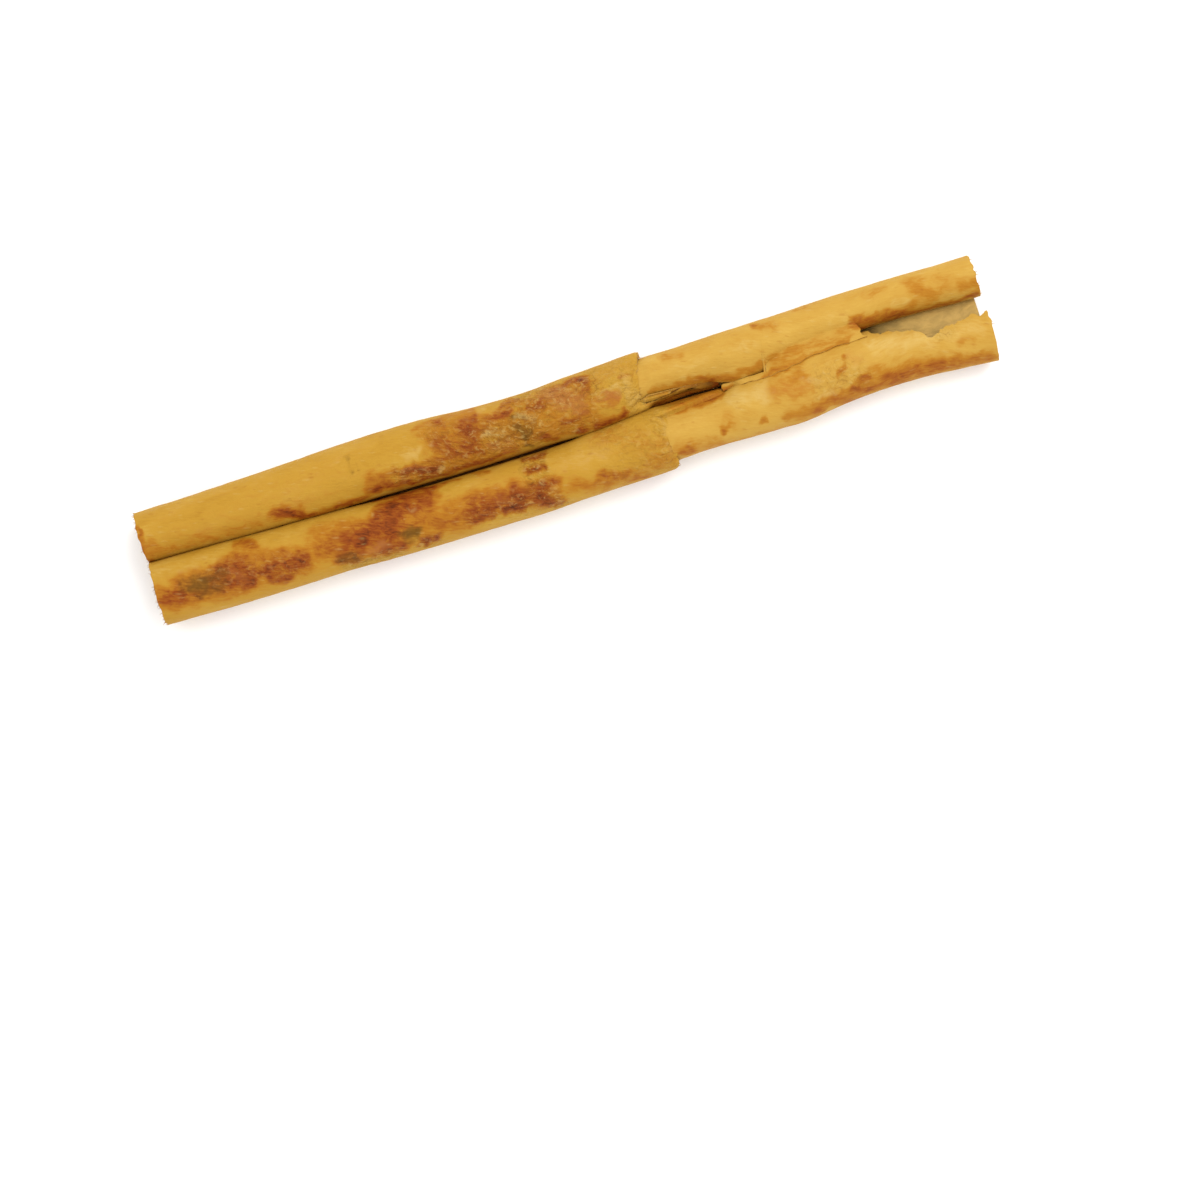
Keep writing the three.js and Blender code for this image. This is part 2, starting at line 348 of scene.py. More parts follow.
outerLook = {
    "low": "9f731c",
    "clean": "a97f27",
    "pale": "b79542",
    "amber": "9d6512",
    "red": "7f3a05",
    "dark": "461902",
    "olive": "593b05",
    "rosy": "9b602c",
    "cream": "bb9c5a",
    "pit": "6e4210",
    "bump": 0.55,
    "seed": 3.0,
}
coreLook = {
    "low": "a97c2a",
    "clean": "b18937",
    "pale": "bd9a48",
    "amber": "a26c18",
    "red": "8c4b0a",
    "dark": "5c2804",
    "olive": "775616",
    "rosy": "a8702f",
    "cream": "bda260",
    "pit": "7d4d12",
    "bump": 0.45,
    "seed": 8.0,
}
# the web's tan is its own colour made lighter, painted light against the shade down between the rolls
innerLook = {"brown": "6f4616", "dark": "4a2702", "web": "bf9b55", "webDark": "a08247"}
edgeLook = {"tan": "b48b42", "dark": "8f6222"}
fibreLook = {"pale": "b8995e", "tan": "a17333", "brown": "6b3c0a"}


def attributeOf(tree, name, output="Fac"):
    return put(tree, "ShaderNodeAttribute", attribute_name=name).outputs[output]


def newMaterial(name):
    material = bpy.data.materials.new(name)
    material.use_nodes = True
    return material, material.node_tree


def finishOff(tree, colour, roughness, height=None, strength=0.0, depth=0.0, specular=0.15):
    shader = tree.nodes["Principled BSDF"]
    feed(tree, shader.inputs["Base Color"], colour)
    feed(tree, shader.inputs["Roughness"], roughness)
    shader.inputs["Specular IOR Level"].default_value = specular
    if height is not None:
        bump = put(tree, "ShaderNodeBump", {"Height": height, "Strength": strength, "Distance": depth * mm})
        feed(tree, shader.inputs["Normal"], bump.outputs[0])


def makeOuterBark(name, look):
    material, tree = newMaterial(name)
    place = attributeOf(tree, "barkPlace", "Vector")
    seed = look["seed"]
    cloud = grainOf(tree, place, 7.5, 3.2, 0.12, 0.6, seed)
    mottle = grainOf(tree, place, 1.7, 1.0, 0.2, 0.8, seed + 7)
    fine = grainOf(tree, place, 1.5, 0.26, 0.27, 0.2, seed + 11)
    lines = grainOf(tree, place, 14.0, 0.7, 0.05, 0.2, seed + 17)
    stainAndShade = attributeOf(tree, "stainAndShade")
    rough = timesPlus(tree, stainAndShade, 0.36, 0.12)
    level = timesPlus(tree, mottle, rough, stainAndShade)
    level = timesPlus(tree, fine, timesPlus(tree, stainAndShade, 0.2, 0.08), level)
    level = timesPlus(tree, cloud, 0.19, level)
    drawn = timesPlus(tree, fine, 0.5, times(tree, cloud, 0.8))
    drawn = timesPlus(tree, mottle, 0.25, drawn)
    clean = blend(tree, drawn, -0.9, 0.1, look["low"], look["clean"])
    clean = blend(tree, drawn, 0.0, 1.0, clean, look["pale"])
    clean = blend(tree, lines, 0.1, 1.1, clean, look["amber"], 0.4)
    tones = {tone: paint(look[tone]) for tone in ("amber", "red", "dark")}
    colour = useGroup(tree, toneGroup, level=level, clean=clean, **tones)
    for tint, most in (("rosy", 0.75), ("olive", 0.85), ("cream", 0.6)):
        ragged = timesPlus(tree, mottle, 0.28, attributeOf(tree, tint))
        ragged = timesPlus(tree, fine, 0.14, ragged)
        colour = blend(tree, ragged, 0.2, 1.0, colour, look[tint], most)
    crust = attributeOf(tree, "crust")
    crumbs = grainOf(tree, place, 0.95, 0.7, 0.2, 0.9, seed + 2)
    pits = times(tree, crust, mapRange(tree, crumbs, -0.05, -0.6, 0.0, 0.7))
    tops = times(tree, crust, mapRange(tree, crumbs, 0.0, 0.6, 0.0, 0.55))
    colour = mixColour(tree, pits, colour, look["pit"])
    colour = mixColour(tree, tops, colour, look["cream"])
    flecks = {"place": place, "width": 0.5}
    paleFlecks = useGroup(tree, fleckGroup, **flecks, length=1.7, slant=0.27, share=0.25, seed=seed + 23)
    brownFlecks = useGroup(tree, fleckGroup, **flecks, length=1.4, slant=0.22, share=0.15, seed=seed + 31)
    colour = mixColour(tree, times(tree, paleFlecks, 0.26), colour, look["cream"])
    colour = mixColour(tree, times(tree, brownFlecks, 0.3), colour, look["red"])
    roughness = mapRange(tree, fine, -0.6, 0.8, 0.58, 0.78)
    height = timesPlus(tree, fine, 0.3, times(tree, mottle, 0.3))
    height = timesPlus(tree, paleFlecks, 0.4, height)
    height = timesPlus(tree, times(tree, crumbs, crust), 4.0, height)
    finishOff(tree, colour, roughness, height, look["bump"], 0.16, specular=0.14)
    return material


def makeInnerBark(name, look):
    material, tree = newMaterial(name)
    place = attributeOf(tree, "barkPlace", "Vector")
    fine = grainOf(tree, place, 5.0, 0.3, 0.0, 0.2, 41.0)
    mottle = grainOf(tree, place, 2.2, 1.2, 0.1, 0.6, 43.0)
    # where the web lies open it takes its lighter tan, partly its own colour and partly painted light
    # against the shade between the rolls
    rolled = blend(tree, mottle, -0.5, 0.6, look["brown"], look["dark"])
    web = blend(tree, mottle, -0.6, 0.9, look["web"], look["webDark"])
    colour = blend(tree, attributeOf(tree, "openShare"), 0.2, 0.8, rolled, web)
    colour = blend(tree, fine, 0.2, 1.2, colour, look["webDark"], 0.4)
    finishOff(tree, colour, mapRange(tree, fine, -0.6, 0.8, 0.6, 0.8), fine, 0.4, 0.12)
    return material


def makeBrokenEdge(name, look):
    material, tree = newMaterial(name)
    place = scaled(tree, put(tree, "ShaderNodeTexCoord").outputs["Object"], 1 / mm)
    grain = grainOf(tree, place, 0.5, 0.4, 0.0, 0.5, 51.0)
    colour = blend(tree, grain, -0.6, 0.9, look["tan"], look["dark"])
    finishOff(tree, colour, 0.8, grain, 0.5, 0.15)
    return material


def makeFibreFinish(name, look):
    material, tree = newMaterial(name)
    shade = attributeOf(tree, "fibreShade")
    place = scaled(tree, put(tree, "ShaderNodeTexCoord").outputs["Object"], 1 / mm)
    grain = grainOf(tree, place, 0.4, 0.3, 0.0, 0.4, 61.0)
    shade = timesPlus(tree, grain, 0.15, shade)
    colour = blend(tree, shade, 0.1, 0.45, look["brown"], look["tan"])
    colour = blend(tree, shade, 0.5, 0.95, colour, look["pale"])
    finishOff(tree, colour, mapRange(tree, grain, -0.6, 0.8, 0.6, 0.8))
    return material


outerBark = makeOuterBark("outerBark", outerLook)
coreOuter = makeOuterBark("coreOuter", coreLook)
innerBark = makeInnerBark("innerBark", innerLook)
brokenEdge = makeBrokenEdge("brokenEdge", edgeLook)
fibreFinish = makeFibreFinish("fibreFinish", fibreLook)
print("finishes made")

# the trees that roll a flat sheet, give it its body and grow fibres on it


def endTree(tree, wanted, geometry, finish):
    # real, smooth geometry in one finish
    real = onward(tree, "RealizeInstances", geometry)
    real = onward(tree, "SetShadeSmooth", real, {"Shade Smooth": True})
    feed(tree, wanted, onward(tree, "SetMaterial", real, {"Material": finish}))


def makeRollTree():
    # each point of a flat sheet carries its turn round a roll, and that roll's centre and half sizes
    inputs = {"Geometry": "Geometry", "Tighten": 0.1, "Unit": mm, "Finish": "Material"}
    tree, given, wanted = newTree("rollSheet", "GeometryNodeTree", inputs, "Geometry")
    names = ("turn", "side", "rollY", "rollZ", "halfWide", "halfHigh", "middleY", "arch")
    read = (readAttribute(tree, name) for name in names)
    turn, side, rollY, rollZ, halfWide, halfHigh, middleY, arch = read
    past = calc(tree, "MAXIMUM", minus(tree, turn, math.pi), 0.0)
    drawnIn = times(tree, past, given["Tighten"])
    wide = times(tree, minus(tree, halfWide, drawnIn), side)
    high = minus(tree, halfHigh, drawnIn)
    rolledY = timesPlus(tree, wide, calc(tree, "SINE", turn), rollY)
    rolledZ = minus(tree, rollZ, times(tree, high, calc(tree, "COSINE", turn)))
    share = times(tree, turn, -1.0)
    webY = timesPlus(tree, minus(tree, middleY, rollY), share, rollY)
    wave = minus(tree, 1.0, calc(tree, "COSINE", times(tree, turn, math.pi)))
    steep = calc(tree, "POWER", times(tree, wave, 0.5), 1.5)
    lift = times(tree, steep, arch)
    webZ = calc(tree, "ADD", minus(tree, rollZ, halfHigh), lift)
    isWeb = calc(tree, "LESS_THAN", turn, 0.0)
    picks = []
    for rolled, web in ((rolledY, webY), (rolledZ, webZ)):
        sockets = {"Switch": isWeb, "False": rolled, "True": web}
        picks.append(put(tree, "GeometryNodeSwitch", sockets, input_type="FLOAT").outputs[0])
    x = split(tree, positionOf(tree))[0]
    unit = given["Unit"]
    place = combine(tree, x, times(tree, picks[0], unit), times(tree, picks[1], unit))
    rolledUp = onward(tree, "SetPosition", given["Geometry"], {"Position": place})
    endTree(tree, wanted, rolledUp, given["Finish"])
    return tree


def noiseAlong(tree, place, length, width, seed, detail=2.0):
    # noise drawn out along the grain, centred on nought
    x, y, z = split(tree, place)
    where = combine(tree, divide(tree, x, length), divide(tree, y, width), z)
    sockets = {"Vector": where, "W": seed, "Scale": 1.0, "Detail": detail}
    noise = put(tree, "ShaderNodeTexNoise", sockets, noise_dimensions="4D")
    return minus(tree, noise.outputs[0], 0.5)


def makeBodyTree():
    # waves the sheet, thickens it, and gives its faces fibres, ripples and crusts
    inputs = {
        "Geometry": "Geometry",
        "Thickness": 0.7 * mm,
        "Wave Depth": 0.12 * mm,
        "Ripple Depth": 0.08 * mm,
        "Fibre Depth": 0.05 * mm,
        "Crust Depth": 0.75 * mm,
        "Fibre Length": 5.0,
        "Fibre Width": 0.8,
        "Seed": 1.0,
        "Outside": "Material",
        "Inside": "Material",
        "Edge": "Material",
    }
    tree, given, wanted = newTree("barkBody", "GeometryNodeTree", inputs, "Geometry")
    place = readAttribute(tree, "barkPlace", "FLOAT_VECTOR")
    seed = given["Seed"]
    sheet = onward(tree, "MergeByDistance", given["Geometry"], {"Distance": 0.002 * mm})
    normal = put(tree, "GeometryNodeInputNormal").outputs[0]
    wave = times(tree, noiseAlong(tree, place, 11.0, 5.0, seed), given["Wave Depth"])
    wave = times(tree, wave, 2.0)
    wave = timesPlus(tree, readAttribute(tree, "shift"), mm, wave)
    waved = onward(tree, "SetPosition", sheet, {"Offset": scaled(tree, normal, wave)})
    kept = storeAttribute(tree, waved, "outward", normal, "FLOAT_VECTOR")
    outward = readAttribute(tree, "outward", "FLOAT_VECTOR")
    thick = times(tree, given["Thickness"], readAttribute(tree, "thin"))
    lining = times(tree, readAttribute(tree, "lining"), mm)
    back = minus(tree, times(tree, thick, -0.5), lining)
    inside = onward(tree, "SetPosition", kept, {"Offset": scaled(tree, outward, back)})
    grown = put(tree, "GeometryNodeExtrudeMesh", {"Mesh": inside, "Offset Scale": 0.0, "Individual": False})
    fibres = noiseAlong(tree, place, given["Fibre Length"], given["Fibre Width"], seed, 3.0)
    ripples = noiseAlong(tree, place, 3.2, 1.9, calc(tree, "ADD", seed, 5.0))
    crust = noiseAlong(tree, place, 1.7, 1.3, calc(tree, "ADD", seed, 9.0), 1.5)
    relief = times(tree, fibres, times(tree, given["Fibre Depth"], 2.0))
    relief = timesPlus(tree, ripples, times(tree, given["Ripple Depth"], 2.0), relief)
    crustHeight = times(tree, crust, given["Crust Depth"])
    relief = timesPlus(tree, crustHeight, readAttribute(tree, "crust"), relief)
    total = calc(tree, "ADD", calc(tree, "ADD", thick, lining), relief)
    sockets = {"Selection": grown.outputs["Top"], "Offset": scaled(tree, outward, total)}
    body = onward(tree, "SetPosition", grown.outputs["Mesh"], sockets)
    # 1 on its outside, 2 on its edges and 0 on its inside
    sheetFace = timesPlus(tree, grown.outputs["Side"], 2.0, grown.outputs["Top"])
    body = storeAttribute(tree, body, "sheetFace", sheetFace, domain="FACE")
    flipped = onward(tree, "FlipFaces", inside)
    join = put(tree, "GeometryNodeJoinGeometry")
    tree.links.new(flipped, join.inputs[0])
    tree.links.new(body, join.inputs[0])
    bark = onward(tree, "MergeByDistance", join.outputs[0], {"Distance": 0.0005 * mm})
    x, y, z = split(tree, positionOf(tree))
    above = combine(tree, x, y, calc(tree, "MAXIMUM", z, 0.0))
    bark = onward(tree, "SetPosition", bark, {"Position": above})
    bark = onward(tree, "SetShadeSmooth", bark, {"Shade Smooth": True})
    angle = put(tree, "GeometryNodeInputMeshEdgeAngle").outputs[0]
    corners = {"Selection": calc(tree, "GREATER_THAN", angle, 55 * degree), "Shade Smooth": False}
    bark = onward(tree, "SetShadeSmooth", bark, corners, domain="EDGE")
    bark = onward(tree, "RemoveAttribute", bark, {"Name": "outward"})
    bark = onward(tree, "RealizeInstances", bark)
    bark = onward(tree, "SetMaterial", bark, {"Material": given["Inside"]})
    for number, material in ((1.0, "Outside"), (2.0, "Edge")):
        chosen = calc(tree, "COMPARE", readAttribute(tree, "sheetFace"), number, 0.1)
        bark = onward(tree, "SetMaterial", bark, {"Selection": chosen, "Material": given[material]})
    feed(tree, wanted, bark)
    return tree


def makeFringeTree():
    # loose fibres that stand out of torn and cut edges, where the rim attribute allows
    inputs = {
        "Geometry": "Geometry",
        "Per Square Metre": 3.0e6,
        "Shortest": 0.25 * mm,
        "Longest": 0.8 * mm,
        "Thickness": 0.05 * mm,
        "Stray": 0.6,
        "Seed": 1,
        "Finish": "Material",
    }
    tree, given, wanted = newTree("fringe", "GeometryNodeTree", inputs, "Geometry")
    density = times(tree, readAttribute(tree, "rim"), given["Per Square Metre"])
    spread = {"Mesh": given["Geometry"], "Density": density, "Seed": given["Seed"]}
    points = put(tree, "GeometryNodeDistributePointsOnFaces", spread, distribute_method="RANDOM")
    shaded = storeAttribute(tree, points.outputs["Points"], "fibreShade", chance(tree, 0.2, 1.0, 5))
    stray = given["Stray"]
    sideways = times(tree, chance(tree, -1.0, 1.0, 7), stray)
    upwards = times(tree, chance(tree, -1.0, 1.0, 9), stray)
    way = combine(tree, readAttribute(tree, "rimWay"), sideways, upwards)
    turned = put(tree, "FunctionNodeAlignRotationToVector", {"Vector": way}, axis="Z")
    taper = {"Vertices": 4, "Side Segments": 3, "Radius Top": 0.15, "Radius Bottom": 1.0, "Depth": 1.0}
    cone = put(tree, "GeometryNodeMeshCone", taper, fill_type="NGON").outputs["Mesh"]
    cone = storeAttribute(tree, cone, "reach", split(tree, positionOf(tree))[2])
    length = chance(tree, given["Shortest"], given["Longest"], 13)
    size = combine(tree, given["Thickness"], given["Thickness"], length)
    fibres = {"Points": shaded, "Instance": cone, "Rotation": turned.outputs[0], "Scale": size}
    instances = put(tree, "GeometryNodeInstanceOnPoints", fibres).outputs[0]
    real = onward(tree, "RealizeInstances", instances)
    position = scaled(tree, positionOf(tree), 1 / mm)
    noise = put(tree, "ShaderNodeTexNoise", {"Vector": position, "Scale": 1.3, "Detail": 1.0}).outputs[1]
    centred = put(tree, "ShaderNodeVectorMath", {0: noise, 1: (0.5, 0.5, 0.5)}, operation="SUBTRACT")
    reach = readAttribute(tree, "reach")
    curl = times(tree, times(tree, reach, reach), 0.9 * mm)
    bent = onward(tree, "SetPosition", real, {"Offset": scaled(tree, centred.outputs[0], curl)})
    endTree(tree, wanted, bent, given["Finish"])
    return tree


rollTree = makeRollTree()
bodyTree = makeBodyTree()
fringeTree = makeFringeTree()

# the two barks' sections

fit = {"gap": 0.4, "rest": 0.1, "roundness": 0.4}
sleeve = {
    "thickness": 0.75,
    "relief": (0.12, 0.09, 0.05),  # depth of its waves, ripples and fibres
    "seed": 3.0,
    "height": 8.5,
    "curl": 284,
    "tighten": 0.1,
    # x, far side, seam, the seam's gap, near side
    "outline": [
        (leftEnd, 8.45, 0.9, 0.35, -8.5),
        (-50, 8.5, 0.45, 0.35, -8.85),
        (-36, 8.95, 0.05, 0.35, -8.85),
        (-22, 9.1, -0.25, 0.35, -9.2),
        (-8, 8.3, -0.35, 0.35, -9.3),
        (4, 8.75, -0.15, 0.35, -9.0),
        (13, 9.15, 0.5, 0.45, -8.85),
        (19, 9.15, 0.7, 0.8, -8.5),
        (25, 9.15, 0.5, 0.5, -8.5),
    ],
    "web": [(leftEnd, 0.7, 0.5), (rightEnd, 0.7, 0.5)],
    "mouthFar": 13.1,
    "mouthNear": 14.3,
    "bodyEnd": 14.0,  # past it only the tongues run on
    "tongueTip": 23.9,
    "tongueStart": (240, 234),  # far and near
    "tongueTaper": 0.5,
    "rows": 0.28,
    # turn at which each band of columns ends, and how many columns it has
    "columns": [(70, 8), (284, 56)],
    "webColumns": 8,
}
nest = sleeve["thickness"] + fit["gap"]
core = {
    "thickness": 0.6,
    "relief": (0.1, 0.07, 0.04),
    "seed": 8.0,
    "height": 6.6,
    "curl": 470,
    "tighten": 0.31,
    # x, far side, far roll's seam side, near roll's seam side, near side, height of the underside
    "outline": [
        (14, 8.05, 2.25, -1.0, -7.7, nest),
        (19, 8.05, 2.3, -1.05, -7.55, 0.98),
        (23, 8.15, 1.95, -0.85, -7.6, 0.9),
        (26, 8.2, 1.2, 0.1, -7.7, 0.82),
        (30, 8.2, 1.2, 0.8, -7.8, 0.72),
        (34, 8.25, 1.75, 1.4, -7.8, 0.6),
        (40, 8.4, 2.3, 1.95, -7.1, 0.42),
        (46, 8.45, 2.45, 2.05, -6.75, 0.26),
        (53, 8.4, 2.4, 1.3, -6.85, 0.1),
        (59, 8.25, 2.15, 0.9, -7.35, 0),
        (rightEnd, 8.3, 2.05, 0.8, -7.75, 0),
    ],
    # x, how far the web's ridge arches up, its share of the way from the near roll to the far one
    "web": [(40, 0.7, 0.5), (45, 0.8, 0.48), (49, 2.0, 0.3), (53, 2.8, 0.2), (rightEnd, 2.7, 0.22)],
    # x, turn at which the near roll's torn edge ends
    "torn": [(46.5, 232), (50, 228), (52.5, 217), (55, 193), (57, 210), (59.5, 220), (rightEnd, 221)],
    "tornFrom": 45,
    "webCut": 0.7,  # how far the web falls short of the rolls at the right end
    "showsFrom": 9.0,  # to the left of it the sleeve hides it, so that its rows are coarse
    "coarseRows": 1.2,
    "rows": 0.3,
    "columns": [(70, 7), (284, 46), (470, 13)],
    "webColumns": 7,
}
flap = {
    "thickness": 0.45,
    "relief": (0.0, 0.06, 0.04),
    "seed": 8.0,
    "start": 158,
    "flush": 0.1,  # its middle's height over the roll's, where it still hugs it
    "slant": 2.4,
    "crackEnd": 30.3,
    "strip": 0.74,
    "hugs": 0.48,  # the share of its width that follows the far roll
    "rows": 90,
    "columns": 60,
    # x, turn at which it leaves the far roll, and where its lower edge lies as seen from above
    "path": [(23.7, 240, -0.05), (30.3, 228, -0.05), (34, 208, 0.25), (37, 206, 0.85), (45.6, 206, 1.25)],
}


def along(stations, x, column):
    # a smooth curve through the stations, read at every x
    xs = np.array([s[0] for s in stations], float)
    ys = np.array([s[column] for s in stations], float)
    x = np.clip(x, xs[0], xs[-1])
    i = np.clip(np.searchsorted(xs, x, side="right") - 1, 0, len(xs) - 2)
    before, after = np.maximum(i - 1, 0), np.minimum(i + 2, len(xs) - 1)
    span = xs[i + 1] - xs[i]
    slopeA = (ys[i + 1] - ys[before]) / (xs[i + 1] - xs[before]) * span
    slopeB = (ys[after] - ys[i]) / (xs[after] - xs[i]) * span
    t = (x - xs[i]) / span
    r = 1 - t
    values = ys[i] * (1 + 2 * t) * r * r + slopeA * t * r * r + ys[i + 1] * (3 - 2 * t) * t * t
    return values - slopeB * r * t * t


def ramp(low, high, value):
    t = np.clip((value - low) / (high - low), 0, 1)
    return t * t * (3 - 2 * t)


def wobble(places, spacing, seed):
    # smooth random numbers from -1 to 1 along a line
    random = np.random.RandomState(seed)
    knots = random.uniform(-1, 1, 4000)
    t = np.asarray(places) / spacing + 1000
    i = np.floor(t).astype(int)
    return knots[i] + (knots[i + 1] - knots[i]) * ramp(0, 1, t - i)


def rollOf(side, outer, seamSide, height, base, bark):
    # a roll's centre and half sizes, from its two sides as seen from above
    drawnIn = bark["tighten"] * math.pi / 2
    halfWide = (np.abs(outer - seamSide) - bark["thickness"] + drawnIn) / 2
    halfHigh = (height - bark["thickness"]) / 2
    return {
        "side": side,
        "halfWide": halfWide,
        "halfHigh": halfHigh,
        "y": outer - side * (halfWide + bark["thickness"] / 2),
        "z": base + bark["thickness"] / 2 + halfHigh,
    }


def roundedHeight(bark, width):
    return bark["height"] * (1 - fit["roundness"]) + width * fit["roundness"]


def sleeveSection(x):
    outer, seam, gap, near = (along(sleeve["outline"], x, k) for k in (1, 2, 3, 4))
    farSeam, nearSeam = seam + gap / 2, seam - gap / 2
    base = -fit["rest"]
    return (
        rollOf(1, outer, farSeam, roundedHeight(sleeve, outer - farSeam), base, sleeve),
        rollOf(-1, near, nearSeam, roundedHeight(sleeve, nearSeam - near), base, sleeve),
    )


def coreStations():
    # inside the sleeve the core keeps a fixed gap to it, and past the mouth it has its own outline
    stations = []
    for x, outer, seam, gap, near in sleeve["outline"]:
        if x >= sleeve["bodyEnd"]:
            continue
        farSeam, nearSeam = seam + gap / 2, seam - gap / 2
        farHigh = roundedHeight(sleeve, outer - farSeam) - 2 * nest
        nearHigh = roundedHeight(sleeve, nearSeam - near) - 2 * nest
        sides = (outer - nest, farSeam + nest, nearSeam - nest, near + nest)
        stations.append((x, *sides, nest, farHigh, nearHigh))
    for x, outer, farSeam, nearSeam, near, base in core["outline"]:
        highs = roundedHeight(core, outer - farSeam), roundedHeight(core, nearSeam - near)
        stations.append((x, outer, farSeam, nearSeam, near, base, *highs))
    return stations


core["stations"] = coreStations()


def coreSection(x):
    outer, farSeam, nearSeam, near, base, farHigh, nearHigh = (
        along(core["stations"], x, k) for k in range(1, 8)
    )
    base = base - fit["rest"]
    return (
        rollOf(1, outer, farSeam, farHigh, base, core),
        rollOf(-1, near, nearSeam, nearHigh, base, core),
    )


def onRoll(roll, bark, turn, offset):
    drawnIn = np.maximum(0, turn - math.pi) * bark["tighten"]
    wide, high = roll["halfWide"] - drawnIn + offset, roll["halfHigh"] - drawnIn + offset
    return roll["y"] + roll["side"] * wide * np.sin(turn), roll["z"] - high * np.cos(turn)


def turnOver(roll, bark, y, offset):
    # the turn at which a roll's seam side lies at a given y
    past = 0
    for _ in range(12):
        reach = roll["side"] * (roll["y"] - y) / (roll["halfWide"] - past * bark["tighten"] + offset)
        past = np.arcsin(np.minimum(reach, 0.98))
    return math.pi + past


# how far the solids lie to one side of this drawing, which they were centred from
drawnFar = max(along(sleeve["outline"], np.linspace(leftEnd, sleeve["bodyEnd"], 400), 1))
yShift = sleeveHigh.y / mm - drawnFar

# strokes of stain and tint, each drawn where it lies as seen from above:
# from x, y to x, y, then the brush's radius and the strength

